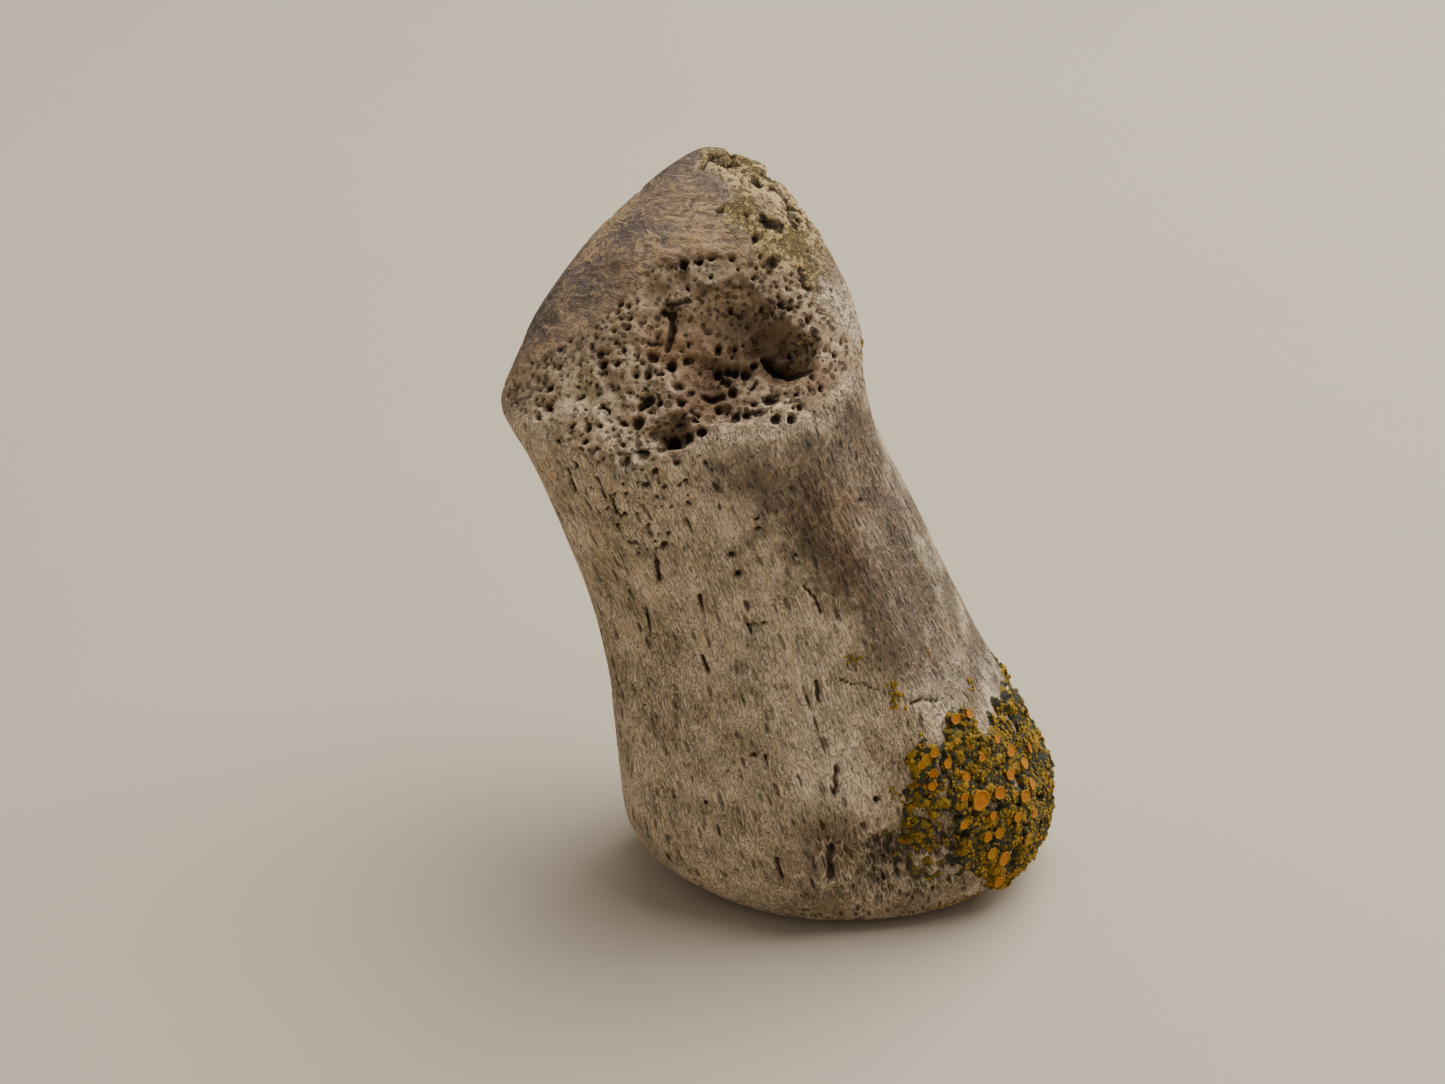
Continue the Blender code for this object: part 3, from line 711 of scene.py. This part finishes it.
    # single pits, slits and cracks that the photo shows
    # the pore mask marks where the colour is painted dark as the shade inside holes, grooves and crevices
    poreShade = spongy * np.maximum(large, 0.8 * small) + 0.6 * shaft * weathered * np.maximum(slits, dots)
    poreShade += spongyEdge * np.maximum(large, small) + 0.8 * crevice
    jitter = skin + 0.12 * wobble
    for middle, (_, _, size, deep) in zip(onBone(np.array(pits)[:, :2])[2], pits):
        reach = np.linalg.norm(jitter - middle, axis=-1) / (0.8 * size)
        hole = smoothStep(1.05, 0.45, reach)
        depth = np.where(reach < 1.4, np.maximum(depth, 0.0) * (1 - hole) + deep * hole, depth)
        poreShade = np.maximum(poreShade, hole)
    for middle, (_, _, size, deep) in zip(onBone(np.array(dampPits)[:, :2])[2], dampPits):
        hole = smoothStep(1.1, 0.5, np.linalg.norm((jitter - middle) * [1, 1, 0.75], axis=-1) / size)
        depth = np.maximum(depth, deep * hole)
        moss = np.maximum(moss, hole)
    for line, halfWidth, deep in cracks:
        ends = onBone(line)[2]
        for start, end in zip(ends[:-1], ends[1:]):
            along = np.clip((jitter - start) @ (end - start) / ((end - start) @ (end - start)), 0, 1)
            reach = np.linalg.norm(jitter - start - along[:, None] * (end - start), axis=-1)
            groove = smoothStep(1.3 * halfWidth, 0.3 * halfWidth, reach)
            depth = np.maximum(depth, deep * groove)
            poreShade = np.maximum(poreShade, groove)

    points = carved - normal * (depth * smoothStep(0.0, 2.0, skin[:, 2]))[:, None]
    points[:, 2] = np.maximum(points[:, 2], 0)
    points[: shape[1], 2] = 0

    fields = {
        "poreShade": np.clip(poreShade, 0, 1),
        "face": face,
        "joint": np.clip(joint, 0, 1),
        "crest": np.clip(crest * rough, 0, 1),
        "grain": grain,
        "arcs": arcs,
        "patina": patina,
        "moss": moss,
        "top": np.clip(crestTop, 0, 1),
    }
    for key, spots in stainsShadeAndLight.items():
        fields[key] = np.clip(spotsOf(skin, spots), 0, 1) * towards
    return points, fields, shape


def boneMaterial():
    graph = Graph("weatheredBone")
    place = graph.place()
    grain = graph.attribute("grain", "Vector")
    names = ("poreShade", "face", "joint", "crest", "top", "patina", "moss", *stainsShadeAndLight)
    field = {name: graph.attribute(name) for name in names}

    blotch = graph.noise(place, 240.0, 5.0, 0.6)
    broad = graph.noise(place, 95.0, 3.0, 0.5)
    fine = graph.noise(place, 1900.0, 4.0, 0.65)
    streak = graph.noise(grain, 1.1, 6.0, 0.65)
    fibre = graph.noise(grain, 3.6, 4.0, 0.6)
    shaft = (1.0 - field["face"]) * (1.0 - field["joint"]) * (1.0 - field["crest"])

    # short dark dashes along the grain, in clusters, and hairline cracks between them, painted as the shade
    # in fine slits and cracks
    warped = graph.warp(grain, 1.5, 0.5)
    dashes = graph.step(graph.cells(warped, 1.15), 0.27, 0.13) * graph.step(broad + streak, 0.82, 1.05)
    ticks = graph.step(graph.cells(warped, 2.3), 0.27, 0.14) * graph.step(blotch, 0.38, 0.56)
    hairs = graph.step(graph.node("Math", {"operation": "ABSOLUTE"}, {0: streak - 0.47}), 0.012, 0.002)
    marks = (dashes + ticks * 0.85 + hairs * 0.4) * shaft * (1.0 - 0.3 * field["patina"])
    # a net of fine raised fibres that split and join round the slits, painted pale as a highlight on them
    net = graph.step(graph.cells(warped, 2.3, "DISTANCE_TO_EDGE") + (blotch - 0.5) * 0.5, 0.16, 0.02)
    net = net * shaft * (1.0 - 0.6 * field["patina"])

    colour = graph.mix(graph.step(blotch, 0.36, 0.62), bone["shaftPale"], bone["shaftGrey"])
    colour = graph.mix(graph.step(broad + blotch, 0.95, 1.2) * 0.6, colour, bone["shaftOlive"])
    colour = graph.mix(graph.step(streak, 0.50, 0.66) * 0.65, colour, bone["shaftTan"])
    colour = graph.mix(graph.step(fibre, 0.54, 0.72) * 0.35, colour, bone["patina"])
    colour = graph.mix(graph.step(fine, 0.58, 0.72) * 0.35, colour, bone["pale"])
    patina = graph.step(field["patina"] + (blotch - 0.5) * 2.0 + (fine - 0.5) * 0.8, 0.05, 1.05)
    polished = graph.mix(graph.step(fine + streak, 0.9, 1.1), bone["patinaDark"], bone["patina"])
    colour = graph.mix(patina * 0.85, colour, polished)

    # small pores whose size drifts, and the larger ones between them, painted dark as the shade inside them
    drift = graph.noise(place, 520.0, 2.0) * 0.35
    sponge = graph.step(graph.cells(place, 1450.0) - drift, 0.15, 0.09)
    holes = graph.step(graph.cells(place, 720.0) - drift * 0.7, 0.12, 0.07)
    sponge = sponge.larger(holes)
    spongy = graph.mix(graph.step(fine, 0.38, 0.60), bone["faceGrey"], bone["rimPale"])
    spongy = graph.mix(graph.step(broad + blotch, 0.85, 1.2) * 0.7, spongy, bone["faceBrown"])
    spongy = graph.mix(sponge * 0.75, spongy, bone["holeShade"])
    lip = field["face"] * (1.0 - field["face"]) * 3.2
    colour = graph.mix(lip, colour, bone["jointTan"])
    colour = graph.mix(graph.step(field["face"] + (fine - 0.5) * 0.6, 0.2, 0.9), colour, spongy)
    # pale patches, partly real and partly painted light on the left of the broken face
    colour = graph.mix(field["pale"] * graph.step(blotch + fine, 0.75, 1.15), colour, bone["pale"])
    colour = graph.mix(field["rust"] * graph.step(fine + blotch, 0.75, 1.2) * 0.8, colour, bone["rust"])

    # fibres that curve round the crest
    arcs = graph.attribute("arcs", "Vector")
    strands = graph.noise(graph.warp(arcs, 0.9, 1.6), 2.6, 4.0, 0.7)
    slate = graph.mix(graph.step(blotch, 0.38, 0.62), bone["jointSlate"], bone["jointBrown"])
    slate = graph.mix(graph.step(broad + fine * 0.5, 0.78, 0.92) * 0.6, slate, bone["jointTan"])
    flecks = strands * 0.62 + fine * 0.38 + (broad - 0.5) * 0.5
    slate = graph.mix(graph.step(flecks, 0.50, 0.58) * 0.85, slate, bone["jointFibre"])
    # painted shade between the raised fibres
    slate = graph.mix(graph.step(flecks, 0.43, 0.36) * 0.5, slate, bone["holeShade"])
    slate = graph.mix(field["tan"] * graph.step(flecks, 0.40, 0.55) * 0.8, slate, bone["jointFibre"])
    ragged = graph.step(field["joint"] + (blotch - 0.5) * 1.1 + (fine - 0.5) * 0.5, 0.15, 0.85)
    worn = graph.mix(graph.step(flecks + (blotch - 0.5), 0.40, 0.60), bone["jointBrown"], bone["jointTan"])
    colour = graph.mix(graph.step(field["top"] + (blotch - 0.5) * 0.8, 0.1, 0.6) * 0.9, colour, worn)
    colour = graph.mix(ragged, colour, slate)
    crusty = graph.mix(graph.step(blotch, 0.40, 0.60), bone["crust"], bone["crustPale"])
    # painted shade in the crevices of the crust on the crest
    crevice = graph.step(fine * 0.6 + blotch * 0.4, 0.52, 0.42)
    crusty = graph.mix(crevice * 0.5, crusty, bone["crustCreviceShade"])
    crustEdge = field["crest"] + (blotch - 0.5) * 1.6 + (fine - 0.5) * 0.8
    colour = graph.mix(graph.step(crustEdge, 0.1, 0.9), colour, crusty)

    # algae, dark stain with painted shade, raised fibres with a painted highlight, and the painted shade of
    # pores and marks lie over all of it
    damp = field["green"] * graph.step(blotch + fine, 0.92, 1.12)
    colour = graph.mix(damp.larger(field["moss"]) * 0.9, colour, bone["green"])
    # painted shade, with real dark stain: brown over the dark spots
    colour = graph.mix(field["dark"] * 0.72, colour, bone["faceBrown"])
    # painted highlight on the raised fibres
    colour = graph.mix(net * 0.6, colour, bone["pale"])
    ochre = graph.step(graph.noise(place, 1050.0, 3.0), 0.58, 0.68) * shaft
    colour = graph.mix(ochre * 0.35, colour, bone["ochre"])
    # painted shade of the dashes and hairline cracks
    colour = graph.mix(marks * 0.68, colour, bone["holeShade"])
    # painted shade inside the pores, pits, slits, cracks and crevices
    colour = graph.mix(graph.step(field["poreShade"], 0.18, 0.8) * 0.88, colour, bone["holeShade"])
    # painted shade of small pits
    specks = graph.step(graph.cells(place, 1500.0), 0.22, 0.10) * shaft
    colour = graph.mix(specks * 0.35, colour, bone["holeShade"])

    height = fine * 0.6 + (streak * 0.9 + fibre * 0.9 + net * 1.1) * shaft
    height = height - marks * 1.6 - specks * 0.8 - sponge * field["face"] * 0.9
    height = height + flecks * field["joint"] * 1.6 - crevice * field["crest"] * 1.8
    return graph.finish({
        "Base Color": colour,
        "Roughness": bone["roughness"] + (fine - 0.5) * 0.12,
        "Specular IOR Level": 0.25,
        "Normal": graph.bump(height, 1.0, 0.3),
    })


bonePoints, boneFields, boneShape = boneSurface()
# rings that close the base, with a slight hollow, and a pole at either end
lowRing = bonePoints[: boneShape[1]]
centre = lowRing.mean(axis=0)
baseRows = []
for step in range(bone["baseRows"], 0, -1):
    share = step / (bone["baseRows"] + 1)
    ring = centre + (lowRing - centre) * (1 - share)
    rise = bone["baseHollow"] * (1 - (1 - share) ** 2)
    ring[:, 2] = rise * (1 + 0.5 * valueNoise(ring, 2.0, 4))
    baseRows.append(ring)
extra = bone["baseRows"] * boneShape[1]
poles = np.array([[centre[0], centre[1], bone["baseHollow"]], [-11.5, 9.5, 68.0] + tableShift])
points = np.concatenate([*baseRows, bonePoints, poles])
quads, fans = gridFaces(boneShape[0] + bone["baseRows"], boneShape[1])
for key, values in boneFields.items():
    ends = np.zeros((2, *values.shape[1:]))
    ends[1] = values[-1]
    below = np.resize(values[: boneShape[1]], (extra, *values.shape[1:]))
    boneFields[key] = np.concatenate([below, values, ends])
toeBone = makePiece("toeBone", points, quads, fans, boneMaterial(), boneFields)
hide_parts("toe_bone")
print("bone done", len(points))

# The lichen: its patch in mm and degrees round the bone, crust heights in mm, colours, counts
lichen = {
    "rows": 100,
    "columns": 330,
    "middleLevel": 11.6,
    "halfHeight": 10.6,
    "middleDegrees": -28.0,
    "halfDegrees": 52.0,
    "sunk": 0.35,
    "underside": 0.5,
    "bed": 0.30,
    "bedWander": 0.35,
    "granuleCell": 0.85,
    "granuleHeight": 0.42,
    "grainCell": 0.42,
    "grainHeight": 0.14,
    "greyGreen": tone(58, 58, 44),
    "olive": tone(118, 98, 30),
    "yellow": tone(160, 122, 24),
    "orange": tone(184, 108, 16),
    "orangeDeep": tone(152, 80, 12),
    "crumbs": 3000,
    "discs": 60,
    "tries": 14000,
    "leastCrust": 0.12,
    "roughness": 0.8,
}
lichenOutline = (
    (1002, 680), (1060, 690), (1075, 760), (1070, 850), (1030, 900), (992, 888), (978, 876),
    (957, 846), (933, 842), (900, 835), (890, 808), (913, 793), (906, 760), (916, 742),
    (938, 743), (943, 712), (963, 706), (970, 728), (993, 728), (1008, 722),
)
# Bone that shows between the clusters
bareGap = ((925, 838), (932, 816), (948, 812), (960, 835), (948, 850))
# Large discs in photo pixels: x, y, radius in mm
largeDiscs = (
    (975, 798, 0.98), (992, 790, 0.62), (1002, 751, 0.6), (945, 764, 0.5), (995, 830, 0.6),
    (981, 833, 0.45), (987, 850, 0.6), (998, 855, 0.72), (957, 820, 0.4), (993, 874, 0.6),
    (930, 750, 0.45), (922, 757, 0.45), (930, 771, 0.45), (918, 762, 0.4), (950, 717, 0.5),
    (962, 713, 0.45), (928, 785, 0.42), (964, 777, 0.45), (1004, 775, 0.55), (1015, 765, 0.55),
    (1013, 795, 0.6), (1008, 815, 0.5), (1018, 835, 0.55), (1022, 750, 0.5), (985, 812, 0.42),
    (1025, 785, 0.6), (1027, 812, 0.55), (990, 740, 0.4), (975, 757, 0.4), (958, 793, 0.4),
)
# Small tufts away from the crust: x, y, reach round and up in mm, how many crumbs
satellites = (
    (855, 661, 0.5, 0.3, 9), (895, 690, 0.3, 0.7, 20), (893, 700, 0.25, 0.4, 10),
    (970, 683, 0.4, 0.3, 7), (862, 343, 0.3, 0.5, 8), (955, 902, 1.6, 0.2, 16),
    (948, 842, 0.7, 0.4, 12), (815, 215, 0.4, 0.5, 8), (925, 822, 0.8, 0.5, 12),
    (897, 790, 0.5, 0.5, 10), (1003, 712, 0.7, 0.5, 12),
)
discMiddles = onBone(np.array(largeDiscs)[:, :2])[2]
discRadii = np.array(largeDiscs)[:, 2]


def crustSurface():
    # a patch about its middle: angle = a0 + a r cos t, level = l0 + h r sin t; the top sheet lies the
    # crust's thickness above the skin, the bottom sheet a fixed depth below it
    reach, turn = np.meshgrid(
        np.arange(1, lichen["rows"] + 1) / lichen["rows"],
        np.linspace(0, math.tau, lichen["columns"], endpoint=False),
        indexing="ij",
    )
    reach, turn = reach.ravel() ** 0.8, turn.ravel()
    reach, turn = np.append(reach, 0.0), np.append(turn, 0.0)
    degrees = lichen["middleDegrees"] + lichen["halfDegrees"] * reach * np.cos(turn)
    level = lichen["middleLevel"] + lichen["halfHeight"] * reach * np.sin(turn)
    angle = np.radians(degrees)
    station = stationOf(level)
    skin = skinPoint(station, angle)
    normal = loftNormal(station, angle)
    thickness, number, granules = crustThickness(skin, normal, degrees)
    thickness = np.where(reach > 0.97, -lichen["sunk"], thickness)
    top = skin + normal * thickness[:, None]
    bottom = skin - normal * lichen["underside"]
    return top, bottom, number, granules


def crustThickness(skin, normal, degrees):
    # cover (sunk + bed + granules) - sunk: a bed with domes h sqrt(1 - (d/r)^2) of two sizes on it, which
    # sinks below the skin where the cover ends
    wobble = noiseVectors(skin, 1.9, 4, (50, 60))
    towards = seenShare(skin, normal)
    cover = insideOf(pixelsOf(skin) + 19.0 * wobble, lichenOutline, 5.0) * towards
    bare = insideOf(pixelsOf(skin) + 9.0 * wobble, bareGap, 8.0) * towards
    gaps = fractalNoise(skin, 1.5, 3, 67) - 0.9 * bare
    cover = cover * smoothStep(-0.62, -0.40, gaps)
    for middle, radius in zip(discMiddles, discRadii):
        apart = np.linalg.norm(skin - middle, axis=-1)
        cover = np.maximum(cover, smoothStep(1.7 * radius, 1.0 * radius, apart))
    level = skin[..., 2] + 1.5 * wobble[..., 0]
    behind = smoothStep(17.0, 8.0, np.abs(degrees + 2.0 + 9 * wobble[..., 1]) * 0.8)
    behind = behind * smoothStep(3.0, 5.0, level) * smoothStep(20.0, 17.5, level)
    cover = np.maximum(cover, behind * (1 - towards))
    near, _, number = cellNoise(skin, lichen["granuleCell"], 61)
    domes = np.sqrt(np.clip(1 - (near / 0.72) ** 2, 0, 1))
    granules = lichen["granuleHeight"] * domes * (0.4 + 0.6 * number)
    near, _, _ = cellNoise(skin, lichen["grainCell"], 63)
    granules += lichen["grainHeight"] * np.sqrt(np.clip(1 - (near / 0.7) ** 2, 0, 1))
    bed = lichen["bed"] + lichen["bedWander"] * fractalNoise(skin, 3.0, 2, 65)
    return cover * (lichen["sunk"] + bed + granules) - lichen["sunk"], number, granules


def crustMaterial(name, edges, low, high):
    # edges: where the number field passes to olive, to yellow and to orange; these colours come on
    # between the low and the high height, with grey-green below: the crust's own grey-green, and painted
    # shade low between the granules and at the root of each crumb
    graph = Graph(name)
    place = graph.place()
    number = graph.attribute("number")
    fine = graph.noise(place, 2600.0, 4.0, 0.6)
    blotch = graph.noise(place, 420.0, 3.0)
    mixed = number + (blotch - 0.5) * 0.7 + (fine - 0.5) * 0.35
    colour = lichen["greyGreen"]
    for edge, shade in zip(edges, ("olive", "yellow", "orange")):
        colour = graph.mix(graph.step(mixed, edge - 0.06, edge + 0.06), colour, lichen[shade])
    raised = graph.step(graph.attribute("height") + (fine - 0.5) * 0.3 * (high - low), low, high)
    # grey-green over the low parts: the crust's own colour, and painted shade between the granules
    colour = graph.mix(raised * 0.85 + 0.08, lichen["greyGreen"], colour)
    return graph.finish({
        "Base Color": colour,
        "Roughness": lichen["roughness"] + (fine - 0.5) * 0.15,
        "Specular IOR Level": 0.25,
        "Normal": graph.bump(fine + blotch, 0.6, 0.15),
    })


top, bottom, number, granules = crustSurface()
rows, columns = lichen["rows"], lichen["columns"]
topGrid = top[:-1].reshape(rows, columns, 3)
bottomGrid = bottom[:-1].reshape(rows, columns, 3)[::6]
# rows run from the bottom sheet's middle out to the rim and back over the top to the middle
sheet = np.concatenate([bottomGrid, topGrid[::-1]]).reshape(-1, 3)
crustFields = {}
for key, values in (("number", number), ("height", granules)):
    grid = values[:-1].reshape(rows, columns)
    crustFields[key] = np.concatenate([grid[::6].ravel(), grid[::-1].ravel(), values[[-1, -1]]])
quads, fans = gridFaces(len(bottomGrid) + rows, columns)
crust = makePiece(
    "lichenCrust",
    np.concatenate([sheet, bottom[-1:], top[-1:]]),
    quads,
    fans,
    crustMaterial("lichenCrust", (0.42, 0.72, 1.1), 0.10, 0.36),
    crustFields,
)
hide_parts("orange_lichen")
print("crust done", len(sheet))


def framesOf(normals, turns):
    # three unit axes at each normal, turned about it
    side = unit(np.cross(normals, np.array([0.13, 0.21, 0.97])))
    other = np.cross(normals, side)
    cos, sin = np.cos(turns)[:, None], np.sin(turns)[:, None]
    return np.stack([side * cos + other * sin, other * cos - side * sin, normals], axis=1)


def revolved(profile, around):
    # x = r cos t, y = r sin t, z = h for each (r, h) of the profile, with a point at each end
    turn = np.linspace(0, math.tau, around, endpoint=False)
    inner = np.array(profile[1:-1])
    ring = np.stack([
        inner[:, :1] * np.cos(turn), inner[:, :1] * np.sin(turn), np.repeat(inner[:, 1:], around, axis=1)
    ], axis=-1)
    ends = np.array([[0, 0, profile[0][1]], [0, 0, profile[-1][1]]])
    return np.concatenate([ring.reshape(-1, 3), ends]), *gridFaces(len(inner), around)


def repeatShape(name, shape, middles, normals, sizes, numbers, material, seed):
    # each copy is M (s p) + c, with its rim pushed in and out by 1 + 0.06 sin(3t + q) + 0.05 sin(7t + 2q)
    verts, quads, fans = shape
    rng = np.random.default_rng(seed)
    count = len(middles)
    axes = framesOf(normals, rng.uniform(0, math.tau, count))
    turn = np.arctan2(verts[:, 1], verts[:, 0])[None]
    phase = rng.uniform(0, 6.28, (count, 1))
    lobes = 1 + 0.06 * np.sin(3 * turn + phase) + 0.05 * np.sin(7 * turn + 2 * phase)
    local = verts[None] * sizes[:, None, :]
    local[..., :2] *= lobes[..., None]
    placed = middles[:, None] + local @ axes
    offset = (np.arange(count) * len(verts))[:, None, None]
    piece = makePiece(
        name,
        placed.reshape(-1, 3),
        (quads[None] + offset).reshape(-1, 4),
        (fans[None] + offset).reshape(-1, 3),
        material,
        {"number": np.repeat(numbers, len(verts)), "height": np.tile(verts[:, 2], count)},
    )


# Radius and height of each shape, as shares of its size, from its root to its top
discProfile = [
    (0.0, -0.9), (0.5, -0.8), (0.72, -0.2), (0.98, 0.22), (1.0, 0.36), (0.88, 0.42), (0.76, 0.30),
    (0.0, 0.34),
]
largeProfile = [
    (0.0, -0.9), (0.5, -0.8), (0.66, -0.3), (0.86, 0.02), (1.0, 0.24), (1.02, 0.34), (0.96, 0.42),
    (0.86, 0.41), (0.78, 0.32), (0.5, 0.31), (0.25, 0.35), (0.0, 0.36),
]
crumbProfile = [(0.0, -0.8), (0.8, -0.3), (1.0, 0.2), (0.6, 0.75), (0.0, 0.9)]


def discMaterial():
    graph = Graph("lichenDiscs")
    place = graph.place()
    number = graph.attribute("number")
    rim = graph.attribute("height")
    fine = graph.noise(place, 2400.0, 4.0, 0.6)
    deeper = graph.step(number + (fine - 0.5) * 0.5, 0.35, 0.75)
    colour = graph.mix(deeper, lichen["yellow"], lichen["orange"])
    colour = graph.mix(graph.step(fine, 0.45, 0.75) * 0.6, colour, lichen["orangeDeep"])
    colour = graph.mix(graph.step(rim, 0.33, 0.40) * 0.85, colour, lichen["yellow"])
    colour = graph.mix(graph.step(rim, 0.1, -0.25), colour, lichen["greyGreen"])
    return graph.finish({
        "Base Color": colour,
        "Roughness": lichen["roughness"] - 0.1 + (fine - 0.5) * 0.15,
        "Specular IOR Level": 0.3,
        "Normal": graph.bump(fine, 0.5, 0.1),
    })


def restedOn(places):
    # the vertex of the bone's own surface nearest to each place
    gaps = ((bonePoints[None] - places[:, None]) ** 2).sum(-1)
    return bonePoints[gaps.argmin(1)]


def crustTop(station, angle):
    # the top of the crust, skin + normal times thickness
    skin = skinPoint(station, angle)
    normal = loftNormal(station, angle)
    thickness, _, _ = crustThickness(skin, normal, np.degrees(angle))
    return skin + normal * thickness[:, None], normal, thickness


discs = discMaterial()
station, angle, _, _ = onBone(np.array(largeDiscs)[:, :2])
middles, normals, _ = crustTop(station, angle)
rng = np.random.default_rng(3)
tilted = unit(normals + rng.normal(0, 0.10, normals.shape))
repeatShape(
    "largeDiscs", revolved(largeProfile, 24), middles + 0.2 * normals, tilted,
    discRadii[:, None] * np.array([1, 1, 0.9]), rng.uniform(0.4, 1.0, len(discRadii)), discs, 4,
)

# smaller discs and crumbs wherever the crust is thick enough
degrees = lichen["middleDegrees"] + lichen["halfDegrees"] * rng.uniform(-1, 1, lichen["tries"])
level = lichen["middleLevel"] + lichen["halfHeight"] * rng.uniform(-1, 1, lichen["tries"])
middles, normals, thickness = crustTop(stationOf(level), np.radians(degrees))
kept = np.flatnonzero(thickness > lichen["leastCrust"])
few = kept[: lichen["discs"]]
size = rng.uniform(0.14, 0.30, len(few))
tilted = unit(normals[few] + rng.normal(0, 0.2, (len(few), 3)))
repeatShape(
    "smallDiscs", revolved(discProfile, 11), middles[few], tilted,
    size[:, None] * np.ones(3), rng.uniform(0.1, 0.9, len(few)), discs, 5,
)
many = kept[lichen["discs"]: lichen["discs"] + lichen["crumbs"]]
size = 0.08 + 0.16 * rng.uniform(0, 1, len(many)) ** 2
spots = [(middles[many], normals[many], size)]
# tufts rest on the bone, which is about 17 mm in radius there and has about 9 mm between its sections
for x, y, reachRound, reachUp, count in satellites:
    station, angle, _, _ = onBone([(x, y)])
    angle = angle + rng.normal(0, reachRound / 17, count)
    station = station + rng.normal(0, reachUp / 9, count)
    rested = restedOn(skinPoint(station, angle))
    spots.append((rested, loftNormal(station, angle), rng.uniform(0.10, 0.24, count)))
middles, normals, size = (np.concatenate(part) for part in zip(*spots))
number = rng.uniform(0.35, 1.05, len(size))
number[len(many):] = rng.uniform(0.6, 0.95, len(size) - len(many))
repeatShape(
    "lichenCrumbs", revolved(crumbProfile, 7), middles, normals,
    size[:, None] * np.array([1, 1, 0.9]), number,
    crustMaterial("lichenCrumbs", (0.45, 0.7, 1.15), -0.1, 0.55), 6,
)
print("lichen done")

# Floor, light and camera
stage = {
    "floorTone": tone(196, 184, 164),
    "floorShade": tone(190, 177, 157),
    "floorHalf": 3.0,
    "keyPower": 7.4,
    "keySize": 0.7,
    "keyPlace": (0.24, 0.17, 0.54),
    "keyAim": (0.0, 0.0, 0.02),
    "fillStrength": 0.33,
    "fillTone": (1.0, 0.97, 0.92, 1.0),
}
floorMesh = bpy.data.meshes.new("floor")
half = stage["floorHalf"]
corners = [(-half, -half, 0), (half, -half, 0), (half, half, 0), (-half, half, 0)]
floorMesh.from_pydata(corners, [], [(0, 1, 2, 3)])
floor = addObject("floor", floorMesh)
graph = Graph("paleFloor")
mottle = graph.noise(graph.place(), 9.0, 3.0)
floorMesh.materials.append(graph.finish({
    "Base Color": graph.mix(mottle, stage["floorTone"], stage["floorShade"]),
    "Roughness": 0.9,
    "Specular IOR Level": 0.2,
}))

world = bpy.data.worlds.new("softLight")
world.use_nodes = True
world.node_tree.nodes["Background"].inputs["Color"].default_value = stage["fillTone"]
world.node_tree.nodes["Background"].inputs["Strength"].default_value = stage["fillStrength"]
bpy.context.scene.world = world

keyLight = bpy.data.lights.new("key", "AREA")
keyLight.energy = stage["keyPower"]
keyLight.size = stage["keySize"]
key = addObject("key", keyLight)
key.location = stage["keyPlace"]
key.rotation_euler = (Vector(stage["keyAim"]) - key.location).to_track_quat("-Z", "Y").to_euler()

cameraData = bpy.data.cameras.new("camera")
cameraData.sensor_width = 36.0
cameraData.lens = 36.0 * photo["focus"] / photo["width"]
cameraData.clip_start = 0.01
cameraData.clip_end = 20.0
camera = addObject("camera", cameraData)
axes = Matrix((lookRight, lookUp, -lookForward)).transposed().to_4x4()
axes.translation = Vector(photo["eye"] * millimetre)
camera.matrix_world = axes
bpy.context.scene.camera = camera
